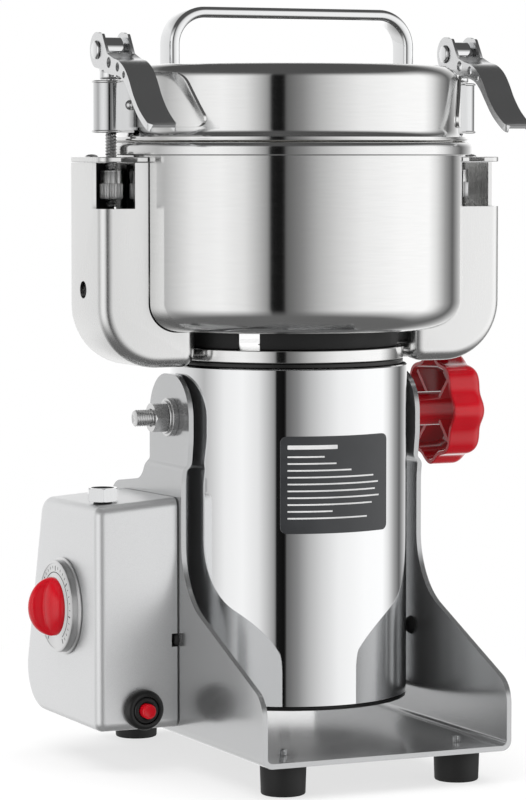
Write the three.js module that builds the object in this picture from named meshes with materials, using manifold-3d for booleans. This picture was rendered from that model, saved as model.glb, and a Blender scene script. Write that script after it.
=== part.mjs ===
// Hammer mill: a lidded grinding bowl on a tilting motor, carried by a bent sheet frame with a switch box.
// Millimetres, +Z up. The part's origin is on the floor, under the middle of its bounding box.
// Inside this file everything is placed from the head's axis: +X towards the tilt knob, -Y towards the front.
import * as THREE from "three";
import { mergeVertices } from "three/addons/utils/BufferGeometryUtils.js";
import Module from "manifold-3d";

const wasm = await Module();
wasm.setup();

// ---- driving dimensions ----
const GAP = 0.3; // kept between touching pieces
const RUNNING_GAP = 0.4; // kept round a piece that turns or slides in another

const SHEET = 2.5; // frame sheet thickness
const FRAME_X = 65.4; // half the frame's outside width
const JOGGLE = 2.6; // how far the pivot ends of the uprights are pressed inwards
const JOGGLE_Z = 147;
const BASE_Z = 15.7; // underside of the base plate
const BASE_FRONT = -113;
const BASE_BACK = 101;
const BASE_TOP = BASE_Z + SHEET;
const UPRIGHT_TOP = 193;
const UPRIGHT_WAIST_Y = -17.5;

const FOOT_X = 46;
const FOOT_FRONT_Y = -93.4;
const FOOT_BACK_Y = 87;
const FOOT_R = 11.2;
const FOOT_STUD_R = 2;

const PIVOT_Z = 172; // the head tilts about this height
const PIVOT_R = 4.2;
const BUMPER_Y = -12;
const BUMPER_Z = 64;

const BOX_OUT_X = -108; // outer face of the switch box
const BOX_IN_X = -66;
const BOX_FRONT_Y = -14;
const BOX_BACK_Y = 62; // at the top
const BOX_HEEL_Y = 99.5; // at the bottom
const BOX_BOTTOM = 20.7;
const BOX_TOP = 130.6;
const BOX_WALL = 2;
const BOX_RISE = 0.075; // how the box top climbs towards the upright
const DIAL_Y = 29.3;
const DIAL_Z = 78;
const DIAL_R = 24;
const DIAL_THICK = 4.7;
const TIMER_KNOB_R = 14.5;
const TIMER_KNOB_END = -127;
const BREAKER_X = -84.7;
const BREAKER_Z = 31.2;
const GLAND_X = -99;
const GLAND_Y = 1;

const MOTOR_R = 59;
const MOTOR_WALL = 1.4;
const MOTOR_BOTTOM = 31.9;
const MOTOR_TOP = 197.2;
const CAP_THICK = 1.5;
const PLATE_BOTTOM = 118;
const PLATE_TOP = 165;
const PLATE_HALF_ANGLE = 0.503; // of the rating plate round the motor

const NECK_R = 57.4;
const NECK_BAND_R = 54.2;
const NECK_RING_Z = 200;
const NECK_BAND_Z = 206.3;

const BOWL_R = 86.5;
const BOWL_WALL = 1.5;
const BOWL_BOTTOM = 215;
const BOWL_CORNER = 14;
const COLLAR_R = 90.8;
const COLLAR_Z = 300;
const RIM_Z = 306.4;

const LID_R = 84;
const LID_FLANGE_R = 89;
const LID_FLANGE_Z = 306.9;
const LID_SKIRT_Z = 312.5;
const LID_TOP = 343.5;
const LID_CORNER = 7.5;
const LID_WALL = 1.5;
const HANDLE_TOP = 372;
const HANDLE_X = 66.2;
const HANDLE_BAR = 5.5;
const HANDLE_DEPTH = 15;

const ARM_OUT_X = -108.5;
const ARM_END_X = -58.3;
const ARM_HALF = 22;
const ARM_BOTTOM = 197.5;
const ARM_TOP = 296.3;
const ARM_WALL = 2;
const ARM_BEND = 30;
const ARM_EDGE = 6; // rounding of the arm's long edges
const ARM_CAP = 2.4;
const WINDOW_Z = 274.3;
const WINDOW_BACK_Y = -10.7;
const WINDOW_IN_X = -91;

const ROD_X = 94.5; // clamp rods stand at plus and minus this
const ROD_R = 2.9;
const ROD_BOTTOM = 275;
const EAR_R = 8.5;
const EAR_SHEET = 1.6;
const EAR_BOTTOM = 312;
const EAR_TOP = 334.6;
const EAR_SADDLE = 1; // thickness of the plate on the lid's wall
const EAR_SADDLE_TOP = 339.5;
const EAR_SCREW_Z = 324;
const ROD_SLOT = [-98, -89.8]; // where the clamp rod passes the arm's cap
const NUT_BOTTOM = 278.6;
const NUT_KNURL_TOP = 286.5;
const NUT_TOP = 292.7;
const LEVER_PIN_Z = 350.5;
const LEVER_HALF = 7.3;
const LEVER_SHEET = 1.4;

const SHAFT_R = 6;
const SHAFT_BORE = SHAFT_R + 0.4; // in what is fixed to the shaft
const TILT_KNOB_START = 79;
const TILT_KNOB_END = 98;
const TILT_KNOB_R = 27;
const TILT_KNOB_LOBES = 8;
const TILT_KNOB_WAVE = 1.4;

// The bounding box's middle, measured from the head's axis.
const MIDDLE_X = (TIMER_KNOB_END - ARM_OUT_X) / 2;
const MIDDLE_Y = (BASE_FRONT + BASE_BACK) / 2;

// ---- materials ----
function finish(color, metalness, roughness) {
  return new THREE.MeshStandardMaterial({ color, metalness, roughness });
}
const STEEL = finish(0xc9cbcc, 1, 0.28);
const POLISHED = finish(0xdadcde, 1, 0.06);
const CHROME = finish(0xe2e4e6, 1, 0.08);
const FRAME_PAINT = finish(0xb4b6b8, 0.7, 0.42);
const SHELL_PAINT = finish(0xc4c6c7, 0.6, 0.4);
const BLACK_RUBBER = finish(0x121212, 0, 0.7);
const BLACK_PLASTIC = finish(0x0c0c0c, 0, 0.35);
const RED_PLASTIC = finish(0xd01020, 0, 0.2);
const DIAL_SILVER = finish(0xd9dadb, 0.6, 0.35);
const PLATE_GREY = finish(0x35373a, 0.1, 0.45);
const TOOL_STEEL = finish(0x9fa3a6, 1, 0.35);
const COPPER = finish(0xb06a3a, 1, 0.35);
const CORE_STEEL = finish(0x5c6064, 0.9, 0.5);
const SEAL_RUBBER = finish(0xe6e3dc, 0, 0.5);

// ---- solids ----
const BIG = 32; // sides of the large round parts
const MID = 16;
const SMALL = 10;
const FINE = 48; // sides of a tool or ring that runs close round a large part
const FAR = 400; // reach of a cutting tool

/** A closed three.js geometry as a solid that can be joined and cut. */
function solid(geometry) {
  const bare = geometry.clone();
  bare.deleteAttribute("normal");
  bare.deleteAttribute("uv");
  const merged = mergeVertices(bare, 1e-4);
  return new wasm.Manifold(
    new wasm.Mesh({
      numProp: 3,
      vertProperties: Float32Array.from(merged.attributes.position.array),
      triVerts: Uint32Array.from(merged.index.array),
    }),
  );
}

/** The triangles of a solid as a three.js geometry. */
function geometryOf(made) {
  const mesh = made.getMesh();
  const positions = new Float32Array(mesh.numVert * 3);
  for (let i = 0; i < mesh.numVert; i++) {
    const start = i * mesh.numProp;
    positions.set(mesh.vertProperties.subarray(start, start + 3), i * 3);
  }
  const geometry = new THREE.BufferGeometry();
  geometry.setAttribute("position", new THREE.BufferAttribute(positions, 3));
  geometry.setIndex(new THREE.BufferAttribute(Uint32Array.from(mesh.triVerts), 1));
  geometry.computeVertexNormals();
  return geometry;
}

/** A matrix whose columns are where the local x, y and z axes go, then an offset. */
function placing(xAxis, yAxis, zAxis, offset = [0, 0, 0]) {
  const m = new THREE.Matrix4().makeBasis(
    new THREE.Vector3(...xAxis),
    new THREE.Vector3(...yAxis),
    new THREE.Vector3(...zAxis),
  );
  return m.setPosition(...offset);
}

const X = [1, 0, 0];
const Y = [0, 1, 0];
const Z = [0, 0, 1];
const MINUS_Y = [0, -1, 0];

/** A closed outline with a corner radius at each corner [u, v, radius]. */
function outline(corners) {
  const shape = new THREE.Shape();
  corners.forEach(([u, v, radius = 0], i) => {
    const before = corners.at(i - 1);
    const after = corners[(i + 1) % corners.length];
    const back = new THREE.Vector2(before[0] - u, before[1] - v).normalize();
    const ahead = new THREE.Vector2(after[0] - u, after[1] - v).normalize();
    if (radius === 0) {
      if (i === 0) shape.moveTo(u, v);
      else shape.lineTo(u, v);
      return;
    }
    const half = Math.acos(THREE.MathUtils.clamp(back.dot(ahead), -1, 1)) / 2;
    const run = radius / Math.tan(half);
    const toCentre = back.clone().add(ahead).normalize().multiplyScalar(radius / Math.sin(half));
    const centre = new THREE.Vector2(u, v).add(toCentre);
    const from = new THREE.Vector2(u, v).addScaledVector(back, run).sub(centre);
    const to = new THREE.Vector2(u, v).addScaledVector(ahead, run).sub(centre);
    const clockwise = back.cross(ahead) > 0;
    const start = centre.clone().add(from);
    if (i === 0) shape.moveTo(start.x, start.y);
    else if (shape.curves.length === 0) shape.lineTo(start.x, start.y);
    shape.absarc(centre.x, centre.y, radius, from.angle(), to.angle(), clockwise);
  });
  return shape;
}

/** An outline extruded from zero to `depth`, its end edges rounded by `round`. */
function extruded(shape, depth, { round = 0, curveSegments = 2 } = {}) {
  return new THREE.ExtrudeGeometry(shape, {
    depth: depth - 2 * round,
    curveSegments,
    bevelEnabled: round > 0,
    bevelSize: round,
    bevelThickness: round,
    bevelOffset: -round,
    bevelSegments: 2,
  }).translate(0, 0, round);
}

/** An outline in (Y, Z), extruded from x0 to x1. */
function prismX(shape, x0, x1, options) {
  return solid(extruded(shape, x1 - x0, options).applyMatrix4(placing(Y, Z, X, [x0, 0, 0])));
}

/** An outline in (X, Z), extruded from y0 to y1. */
function prismY(shape, y0, y1, options) {
  return solid(extruded(shape, y1 - y0, options).applyMatrix4(placing(X, Z, MINUS_Y, [0, y1, 0])));
}

/** An outline in (X, Y), extruded from z0 to z1. */
function prismZ(shape, z0, z1, options) {
  return solid(extruded(shape, z1 - z0, options).translate(0, 0, z0));
}

/** A box between two corners. */
function block(x0, x1, y0, y1, z0, z1) {
  const box = new THREE.BoxGeometry(x1 - x0, y1 - y0, z1 - z0);
  return solid(box.translate((x0 + x1) / 2, (y0 + y1) / 2, (z0 + z1) / 2));
}

/** A profile of [radius, height] turned about an axis; it starts and ends on the axis or closes. */
function turned(profile, sides, along = Z, origin = [0, 0, 0]) {
  let area = 0;
  profile.forEach(([r, h], i) => {
    const [r2, h2] = profile[(i + 1) % profile.length];
    area += r * h2 - r2 * h;
  });
  const points = profile.map(([r, h]) => new THREE.Vector2(r, h));
  if (area < 0) points.reverse();
  const onAxis = points[0].x === 0 && points.at(-1).x === 0;
  if (!onAxis) points.push(points[0].clone());
  const lathe = new THREE.LatheGeometry(points, sides);
  const toAxis = new THREE.Quaternion().setFromUnitVectors(
    new THREE.Vector3(0, 1, 0),
    new THREE.Vector3(...along),
  );
  return solid(lathe.applyQuaternion(toAxis).translate(...origin));
}

/** A plain cylinder from h0 to h1 along an axis. */
function rod(radius, h0, h1, along = Z, origin = [0, 0, 0], sides = SMALL) {
  return turned([[0, h0], [radius, h0], [radius, h1], [0, h1]], sides, along, origin);
}

/** A ring from h0 to h1 along an axis. */
function ring(inner, outer, h0, h1, sides = MID, along = Z, origin = [0, 0, 0]) {
  const profile = [[inner, h0], [outer, h0], [outer, h1], [inner, h1]];
  return turned(profile, sides, along, origin);
}

/** Points on an arc in (radius, height), from one angle to another in degrees. */
function arc(r, h, radius, from, to, steps = 3) {
  return Array.from({ length: steps + 1 }, (_, i) => {
    const angle = THREE.MathUtils.degToRad(from + ((to - from) * i) / steps);
    return [r + radius * Math.cos(angle), h + radius * Math.sin(angle)];
  });
}

/** A hexagon across two flats. */
function hexagon(acrossFlats) {
  const corners = Array.from({ length: 6 }, (_, i) => {
    const angle = (i * Math.PI) / 3;
    const radius = acrossFlats / Math.sqrt(3);
    return [radius * Math.cos(angle), radius * Math.sin(angle)];
  });
  return outline(corners);
}

/** A named mesh of one solid. */
function piece(name, made, material, parent) {
  const mesh = new THREE.Mesh(geometryOf(made), material);
  mesh.name = name;
  parent.add(mesh);
  return mesh;
}

// ---- base ----

/** The side view of an upright with its share of the base: [Y, Z, corner radius]. */
function uprightOutline() {
  return outline([
    [BASE_FRONT, 0],
    [BASE_BACK, 0],
    [BASE_BACK, 58, 28],
    [70, 135, 14],
    [28, 140, 12],
    [28, UPRIGHT_TOP, 21],
    [-21, UPRIGHT_TOP, 21],
    [-21, 162, 30],
    [UPRIGHT_WAIST_Y, 140, 30],
    [UPRIGHT_WAIST_Y, 87.5, 37],
    [BASE_FRONT, 47.4, 14],
  ]);
}

/** The front view of the bent sheet: a U whose tops are joggled inwards. */
function frameSection() {
  const bend = 5;
  const inner = FRAME_X - SHEET;
  const top = UPRIGHT_TOP + 10;
  return outline([
    [-FRAME_X, BASE_Z, bend],
    [FRAME_X, BASE_Z, bend],
    [FRAME_X, JOGGLE_Z],
    [FRAME_X - JOGGLE, JOGGLE_Z + JOGGLE],
    [FRAME_X - JOGGLE, top],
    [inner - JOGGLE, top],
    [inner - JOGGLE, JOGGLE_Z + JOGGLE],
    [inner, JOGGLE_Z],
    [inner, BASE_TOP, bend - SHEET],
    [-inner, BASE_TOP, bend - SHEET],
    [-inner, JOGGLE_Z],
    [-inner + JOGGLE, JOGGLE_Z + JOGGLE],
    [-inner + JOGGLE, top],
    [-FRAME_X + JOGGLE, top],
    [-FRAME_X + JOGGLE, JOGGLE_Z + JOGGLE],
    [-FRAME_X, JOGGLE_Z],
  ]);
}

const FOOT_PLACES = {
  front_left: [-FOOT_X, FOOT_FRONT_Y],
  front_right: [FOOT_X, FOOT_FRONT_Y],
  back_left: [-FOOT_X, FOOT_BACK_Y],
  back_right: [FOOT_X, FOOT_BACK_Y],
};

function baseFrame() {
  let frame = prismY(frameSection(), BASE_FRONT, BASE_BACK).intersect(
    prismX(uprightOutline(), -FRAME_X - SHEET, FRAME_X + SHEET, { curveSegments: 3 }),
  );
  frame = frame.subtract(rod(PIVOT_R + 0.6, -FAR, FAR, X, [0, 0, PIVOT_Z]));
  frame = frame.subtract(rod(FOOT_STUD_R + RUNNING_GAP, -FAR, FAR, X, [0, BUMPER_Y, BUMPER_Z]));
  for (const [x, y] of Object.values(FOOT_PLACES)) {
    frame = frame.subtract(rod(FOOT_STUD_R + RUNNING_GAP, 0, BASE_TOP + SHEET, Z, [x, y, 0]));
  }
  return frame;
}

/** A rubber foot moulded on its stud, whose end stands above the base plate. */
function foot() {
  return turned(
    [
      [0, 0],
      [FOOT_R - 1.4, 0],
      [FOOT_R - 0.6, 0.8],
      [FOOT_R, BASE_Z - GAP],
      [FOOT_STUD_R, BASE_Z - GAP],
      [FOOT_STUD_R, BASE_TOP + 3],
      [0, BASE_TOP + 3],
    ],
    MID,
  );
}

/** A rubber bumper pushed through an upright: a button head outside and a pad towards the motor. */
function bumper() {
  const inside = FRAME_X - SHEET;
  return turned(
    [
      [0, inside - 2.4],
      [3.6, inside - 2.4],
      [4.6, inside - GAP],
      [FOOT_STUD_R, inside - GAP],
      [FOOT_STUD_R, FRAME_X + GAP],
      [4.4, FRAME_X + GAP],
      [3.4, FRAME_X + 2.2],
      [0, FRAME_X + 2.6],
    ],
    SMALL,
    X,
  );
}

/** The side view of the switch box, moved in by `inset`. */
function boxOutline(inset) {
  return outline([
    [BOX_FRONT_Y + inset, BOX_BOTTOM + inset, 5 - inset],
    [BOX_HEEL_Y - 1.6 * inset, BOX_BOTTOM + inset, 21 - inset],
    [BOX_BACK_Y - inset, BOX_TOP - 1.5 - inset, 9 - inset],
    [BOX_FRONT_Y + inset, BOX_TOP - inset, 5 - inset],
  ]);
}

/** A geometry in the part's axes whose upper half climbs towards the upright. */
function climbing(geometry) {
  const position = geometry.attributes.position;
  for (let i = 0; i < position.count; i++) {
    if (position.getZ(i) < DIAL_Z) continue;
    position.setZ(i, position.getZ(i) + BOX_RISE * (position.getX(i) - BOX_OUT_X));
  }
  return geometry;
}

function boxSolid(inset, x0, x1, round) {
  const shape = extruded(boxOutline(inset), x1 - x0, { round });
  return solid(climbing(shape.applyMatrix4(placing(Y, Z, X, [x0, 0, 0]))));
}

function switchBox() {
  const beyond = BOX_IN_X + 12;
  const outside = boxSolid(0, BOX_OUT_X, beyond, 4.5);
  const inside = boxSolid(BOX_WALL, BOX_OUT_X + BOX_WALL, beyond + 12, 2);
  return outside
    .subtract(inside)
    .subtract(block(BOX_IN_X, FAR, -FAR, FAR, -FAR, FAR))
    .subtract(rod(5.2, BOX_OUT_X - 5, BOX_OUT_X + 5, X, [0, DIAL_Y, DIAL_Z]))
    .subtract(rod(6.8, BOX_FRONT_Y - 5, BOX_FRONT_Y + 5, Y, [BREAKER_X, 0, BREAKER_Z]))
    .subtract(rod(4.8, BOX_TOP - 6, BOX_TOP + 6, Z, [GLAND_X, GLAND_Y, 0]))
    .subtract(rod(5, BOX_IN_X - 4, BOX_IN_X + 4, X, [0, BUMPER_Y, BUMPER_Z]));
}

function timerDial() {
  const back = BOX_OUT_X - GAP;
  const front = back - DIAL_THICK;
  const profile = [
    [5.2, back],
    [DIAL_R, back],
    [DIAL_R, back - 0.8],
    [DIAL_R - 1.2, back - 1.4],
    [DIAL_R - 1.2, front + 0.8],
    [DIAL_R - 2, front],
    [5.2, front],
  ];
  return turned(profile, 24, X);
}

/** The timer's clockwork case with the bush that holds the dial; the knob's stem turns in it. */
function timerBody() {
  const front = BOX_OUT_X + BOX_WALL + GAP;
  const half = 21;
  return block(front, front + 27, -half, half, -half, half)
    .add(rod(4.8, BOX_OUT_X - 2, front + 1, X))
    .subtract(rod(3.9, BOX_OUT_X - 5, front + 9, X));
}

/** The timer knob: a shallow dome with a tapered grip bar across it, and its stem. */
function timerKnob() {
  const back = BOX_OUT_X - GAP - DIAL_THICK - GAP;
  const dome = turned(
    [
      [0, back],
      [TIMER_KNOB_R, back],
      [TIMER_KNOB_R, back - 1.6],
      [TIMER_KNOB_R - 1.2, back - 3.8],
      [10.5, back - 7],
      [5.5, back - 9],
      [0, back - 9.6],
    ],
    16,
    X,
  );
  const bar = prismZ(
    outline([
      [back - 1, -5.5],
      [back - 1, 5.5],
      [TIMER_KNOB_END, 2.6, 2],
      [TIMER_KNOB_END, -2.6, 2],
    ]),
    -13.2,
    13.2,
    { round: 1.5, curveSegments: 2 },
  );
  return dome.add(bar).add(rod(3.5, back - 1, BOX_OUT_X + 8, X));
}

/** A push-to-reset breaker: a threaded barrel through the box wall, and its block behind. */
function breakerBody() {
  const inside = BOX_FRONT_Y + BOX_WALL + GAP;
  return block(-7, 7, inside, inside + 26, -6, 8)
    .add(rod(6.4, BOX_FRONT_Y - 4.5, inside + 1, Y))
    .subtract(rod(4, BOX_FRONT_Y - 6, inside + 4, Y));
}

function breakerNut() {
  const back = BOX_FRONT_Y - GAP;
  const profile = [
    [6.8, back],
    [9.8, back],
    [9.8, back - 1.6],
    [8.4, back - 4.6],
    [6.8, back - 5.4],
  ];
  return turned(profile, MID, Y);
}

function breakerButton() {
  const tip = BOX_FRONT_Y - 10;
  const profile = [
    [0, tip],
    [2.6, tip],
    [3.6, tip + 1],
    [3.6, BOX_FRONT_Y + 1],
    [0, BOX_FRONT_Y + 1],
  ];
  return turned(profile, SMALL, Y);
}

/** A hexagonal gland on the box's top, with its black plug through it. */
function gland() {
  const z0 = BOX_TOP + 1.5;
  return prismZ(hexagon(14), z0, z0 + 6.6)
    .add(turned([[0, z0 + 6], [7.2, z0 + 6], [7.2, z0 + 7.6], [4.5, z0 + 8.8], [0, z0 + 9]], SMALL))
    .add(rod(4.4, BOX_TOP - 6, z0 + 1));
}

function makeBase(parent) {
  const base = new THREE.Group();
  parent.add(base);
  piece("base_frame", baseFrame(), FRAME_PAINT, base);
  for (const [place, [x, y]] of Object.entries(FOOT_PLACES)) {
    piece("foot_" + place, foot(), BLACK_RUBBER, base).position.set(x, y, 0);
  }
  const right = piece("bumper_right", bumper(), BLACK_RUBBER, base);
  right.position.set(0, BUMPER_Y, BUMPER_Z);
  const left = piece("bumper_left", bumper(), BLACK_RUBBER, base);
  left.position.set(0, BUMPER_Y, BUMPER_Z);
  left.rotation.z = Math.PI;

  piece("switch_box", switchBox(), SHELL_PAINT, base);
  const timer = new THREE.Group();
  timer.position.set(0, DIAL_Y, DIAL_Z);
  base.add(timer);
  piece("timer_body", timerBody(), BLACK_PLASTIC, timer);
  piece("timer_dial", timerDial(), DIAL_SILVER, timer);
  piece("timer_knob", timerKnob(), RED_PLASTIC, timer);
  const breaker = new THREE.Group();
  breaker.position.set(BREAKER_X, 0, BREAKER_Z);
  base.add(breaker);
  piece("breaker_body", breakerBody(), BLACK_PLASTIC, breaker);
  piece("breaker_nut", breakerNut(), BLACK_PLASTIC, breaker);
  piece("breaker_button", breakerButton(), RED_PLASTIC, breaker);
  piece("box_gland", gland(), CHROME, base).position.set(GLAND_X, GLAND_Y, 0);
}

// ---- motor ----

const PIVOT_AT = [0, 0, PIVOT_Z];
const BEARING_R = 13;
const LOWER_BEARING_Z = 38.5;
const UPPER_BEARING_Z = 178;
const BEARING_THICK = 8;

function motorHousing() {
  const bottom = MOTOR_BOTTOM + CAP_THICK + GAP;
  return ring(MOTOR_R - MOTOR_WALL, MOTOR_R, bottom, MOTOR_TOP, BIG).subtract(
    rod(PIVOT_R + 0.6, -FAR, FAR, X, PIVOT_AT),
  );
}

/** A thin plate bent round the front of the motor. */
function ratingPlate() {
  const shell = ring(MOTOR_R + GAP, MOTOR_R + GAP + 0.4, PLATE_BOTTOM, PLATE_TOP, FINE);
  const half = Math.sin(PLATE_HALF_ANGLE) * MOTOR_R;
  const window = outline([
    [-half, PLATE_BOTTOM, 3],
    [half, PLATE_BOTTOM, 3],
    [half, PLATE_TOP, 3],
    [-half, PLATE_TOP, 3],
  ]);
  return shell.intersect(prismY(window, -FAR, 0));
}

/** The motor's bottom cover: a rimmed disc with a bearing seat and a ring of air slots. */
function bottomCover() {
  const floor = MOTOR_BOTTOM + CAP_THICK;
  const inside = MOTOR_R - MOTOR_WALL - GAP;
  let cover = turned(
    [
      [0, MOTOR_BOTTOM],
      [MOTOR_R - 0.2, MOTOR_BOTTOM],
      [MOTOR_R - 0.2, floor],
      [inside, floor],
      [inside, floor + 7],
      [inside - 2, floor + 7],
      [inside - 2, floor + 0.5],
      [BEARING_R + 3, floor + 0.5],
      [BEARING_R + 3, LOWER_BEARING_Z + BEARING_THICK],
      [BEARING_R + GAP, LOWER_BEARING_Z + BEARING_THICK],
      [BEARING_R + GAP, LOWER_BEARING_Z - GAP],
      [0, LOWER_BEARING_Z - GAP],
    ],
    BIG,
  );
  const slots = 8;
  for (let i = 0; i < slots; i++) {
    const slot = solid(
      new THREE.BoxGeometry(22, 6, 3 * CAP_THICK)
        .translate(37, 0, MOTOR_BOTTOM + CAP_THICK / 2)
        .rotateZ((2 * Math.PI * (i + 0.5)) / slots),
    );
    cover = cover.subtract(slot);
  }
  return cover;
}

/** The upper casting: a disc with the bearing seat and the two lugs that take the pivot bolts. */
function upperBracket() {
  const outer = MOTOR_R - MOTOR_WALL - GAP;
  const bearingTop = UPPER_BEARING_Z + BEARING_THICK;
  const disc = turned(
    [
      [SHAFT_R + 2, bearingTop + GAP],
      [BEARING_R + GAP, bearingTop + GAP],
      [BEARING_R + GAP, UPPER_BEARING_Z],
      [BEARING_R + 4, UPPER_BEARING_Z],
      [BEARING_R + 4, bearingTop + 2],
      [outer, bearingTop + 2],
      [outer, bearingTop + 6],
      [SHAFT_R + 2, bearingTop + 6],
    ],
    BIG,
  );
  const lugs = [-1, 1].map((side) => {
    const x = [side * 44, side * (outer - 1.5)].sort((a, b) => a - b);
    return block(x[0], x[1], -9, 9, PIVOT_Z - 10, bearingTop + 3).subtract(
      rod(PIVOT_R + RUNNING_GAP, -FAR, FAR, X, PIVOT_AT),
    );
  });
  return disc.add(lugs[0]).add(lugs[1]);
}

function bearing(z) {
  return ring(SHAFT_R + 0.2, BEARING_R, z, z + BEARING_THICK, MID);
}

/** The stator: a ring with four pole shoes and flats where the windings pass. */
function stator() {
  let core = ring(34, 53, 84, 140, 24);
  for (let i = 0; i < 4; i++) {
    const notch = new THREE.BoxGeometry(14, 20, 80).translate(58, 0, 112).rotateZ((i * Math.PI) / 2);
    core = core.subtract(solid(notch));
  }
  return core;
}

/** The brush yoke: a ring on the bottom cover's side with two brush holders that reach inwards. */
function brushYoke() {
  const z0 = 62;
  let yoke = ring(44, 50, z0, z0 + 8, 24);
  for (const side of [-1, 1]) {
    const y = [side * 15, side * 46].sort((a, b) => a - b);
    yoke = yoke.add(block(-5, 5, y[0], y[1], z0, z0 + 8));
  }
  return yoke;
}

function pivotBolt() {
  const profile = [[0, -82.6], [PIVOT_R - 0.8, -82.6], [PIVOT_R, -81.8], [PIVOT_R, -46], [0, -46]];
  return turned(profile, SMALL, X);
}

/** The pivot nut, with the washer pressed on its face. */
function pivotNut() {
  const face = -(FRAME_X - JOGGLE) - GAP;
  const hex = prismX(hexagon(13.6), -74, -67);
  const washer = turned(
    [[0, -67.4], [8.2, -67.4], [8.2, -66], [9.4, -65.6], [9.4, face], [0, face]],
    MID,
    X,
  );
  return hex.add(washer).subtract(rod(PIVOT_R + GAP, -FAR, FAR, X));
}

function tiltWasher() {
  const face = FRAME_X - JOGGLE + GAP;
  return ring(PIVOT_R + RUNNING_GAP, 10, face, face + 3.6, MID, X);
}

function makeMotor(head) {
  piece("motor_housing", motorHousing(), POLISHED, head);
  piece("rating_plate", ratingPlate(), PLATE_GREY, head);
  piece("bottom_cover", bottomCover(), BLACK_PLASTIC, head);
  piece("upper_bracket", upperBracket(), CORE_STEEL, head);
  piece("lower_bearing", bearing(LOWER_BEARING_Z), STEEL, head);
  piece("upper_bearing", bearing(UPPER_BEARING_Z), STEEL, head);
  piece("stator", stator(), CORE_STEEL, head);
  piece("brush_yoke", brushYoke(), BLACK_PLASTIC, head);
  piece("pivot_bolt_left", pivotBolt(), STEEL, head).position.z = PIVOT_Z;
  piece("pivot_nut_left", pivotNut(), STEEL, head).position.z = PIVOT_Z;
  piece("tilt_washer_right", tiltWasher(), BLACK_PLASTIC, head).position.z = PIVOT_Z;
}

// ---- bowl, neck and clamp arms ----

const SEAL_R = 13.6;

/** The bowl's outside, from the middle of its floor to the underside of its collar, grown by `grow`. */
function bowlOutside(grow) {
  const corner = BOWL_CORNER + grow;
  return [
    [0, BOWL_BOTTOM - grow],
    ...arc(BOWL_R - BOWL_CORNER, BOWL_BOTTOM + BOWL_CORNER, corner, -90, 0),
  ];
}

function grindingBowl() {
  const centre = [BOWL_R - BOWL_CORNER, BOWL_BOTTOM + BOWL_CORNER];
  return turned(
    [
      [SEAL_R + GAP, BOWL_BOTTOM],
      ...arc(...centre, BOWL_CORNER, -90, 0),
      [BOWL_R, COLLAR_Z],
      [COLLAR_R, COLLAR_Z],
      ...arc(COLLAR_R - 3, RIM_Z - 3, 3, 0, 90, 2),
      [BOWL_R - BOWL_WALL, RIM_Z],
      ...arc(...centre, BOWL_CORNER - BOWL_WALL, 0, -90),
      [SEAL_R + GAP, BOWL_BOTTOM + BOWL_WALL],
    ],
    BIG,
  );
}

/** The seal in the bowl's floor: a flanged sleeve the shaft turns in. */
function shaftSeal() {
  const floor = BOWL_BOTTOM + BOWL_WALL + GAP;
  const bore = SHAFT_R + RUNNING_GAP;
  const profile = [
    [bore, BOWL_BOTTOM - 4],
    [SEAL_R, BOWL_BOTTOM - 4],
    [SEAL_R, floor],
    [SEAL_R + 5, floor],
    [SEAL_R + 5, floor + 1.2],
    [bore + 2, floor + 2.4],
    [bore, floor + 2.4],
  ];
  return turned(profile, MID);
}

/**
 * The left arm: a J-shaped channel, open towards the bowl, with a window at its upper front corner
 * and, where a knob turns under it, a round relief of radius `relief` about the pivot.
 */
function arm(windowInX, relief) {
  const high = ARM_TOP + 20;
  const shape = (inset, endX) =>
    outline([
      [ARM_OUT_X + inset, high],
      [ARM_OUT_X + inset, ARM_BOTTOM + inset, ARM_BEND - inset],
      [endX, ARM_BOTTOM + inset, ARM_EDGE + 1 - inset],
      [endX, high],
    ]);
  const outside = prismY(shape(0, ARM_END_X), -ARM_HALF, ARM_HALF, {
    round: ARM_EDGE,
    curveSegments: 3,
  });
  const inside = prismY(
    shape(ARM_WALL, ARM_END_X - ARM_WALL),
    -ARM_HALF + ARM_WALL,
    ARM_HALF - ARM_WALL,
    { round: ARM_EDGE - ARM_WALL, curveSegments: 3 },
  );
  const bowl = turned([...bowlOutside(GAP + 0.2), [BOWL_R + GAP + 0.2, FAR], [0, FAR]], FINE);
  return outside
    .subtract(inside)
    .subtract(bowl)
    .subtract(block(-FAR, FAR, -FAR, FAR, ARM_TOP, FAR))
    .subtract(block(-FAR, windowInX, -FAR, WINDOW_BACK_Y, WINDOW_Z, FAR))
    .subtract(rod(relief, -FAR, -TILT_KNOB_START + 1.5, X, PIVOT_AT, MID))
    .subtract(rod(4.2, -FAR, -ROD_X, X, [0, 1.6, 235]));
}

/** The plate that closes an arm's top, slotted from the front for the clamp rod, with its dome screw. */
function armCap() {
  const z0 = ARM_TOP + GAP;
  const z1 = z0 + ARM_CAP;
  const capEnd = 16 - BOWL_R;
  const slotBack = 5;
  const plate = prismZ(
    outline([
      [ARM_OUT_X, -ARM_HALF, ARM_EDGE],
      [capEnd, -ARM_HALF],
      [capEnd, ARM_HALF],
      [ARM_OUT_X, ARM_HALF, ARM_EDGE],
    ]),
    z0,
    z1,
  );
  const slot = outline([
    [ROD_SLOT[0], -ARM_HALF - 5],
    [ROD_SLOT[1], -ARM_HALF - 5],
    [ROD_SLOT[1], slotBack, 3.5],
    [ROD_SLOT[0], slotBack, 3.5],
  ]);
  const screw = turned([[0, z1 - 1], [3.2, z1 - 1], [3.2, z1], [2.2, z1 + 1], [0, z1 + 1.4]], 16);
  return plate
    .subtract(prismZ(slot, z0 - 1, z1 + 1))
    .subtract(rod(BOWL_R + GAP + 0.2, 0, FAR, Z, [0, 0, 0], FINE))
    .add(screw.translate([-103.4, 3, 0]));
}

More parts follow.
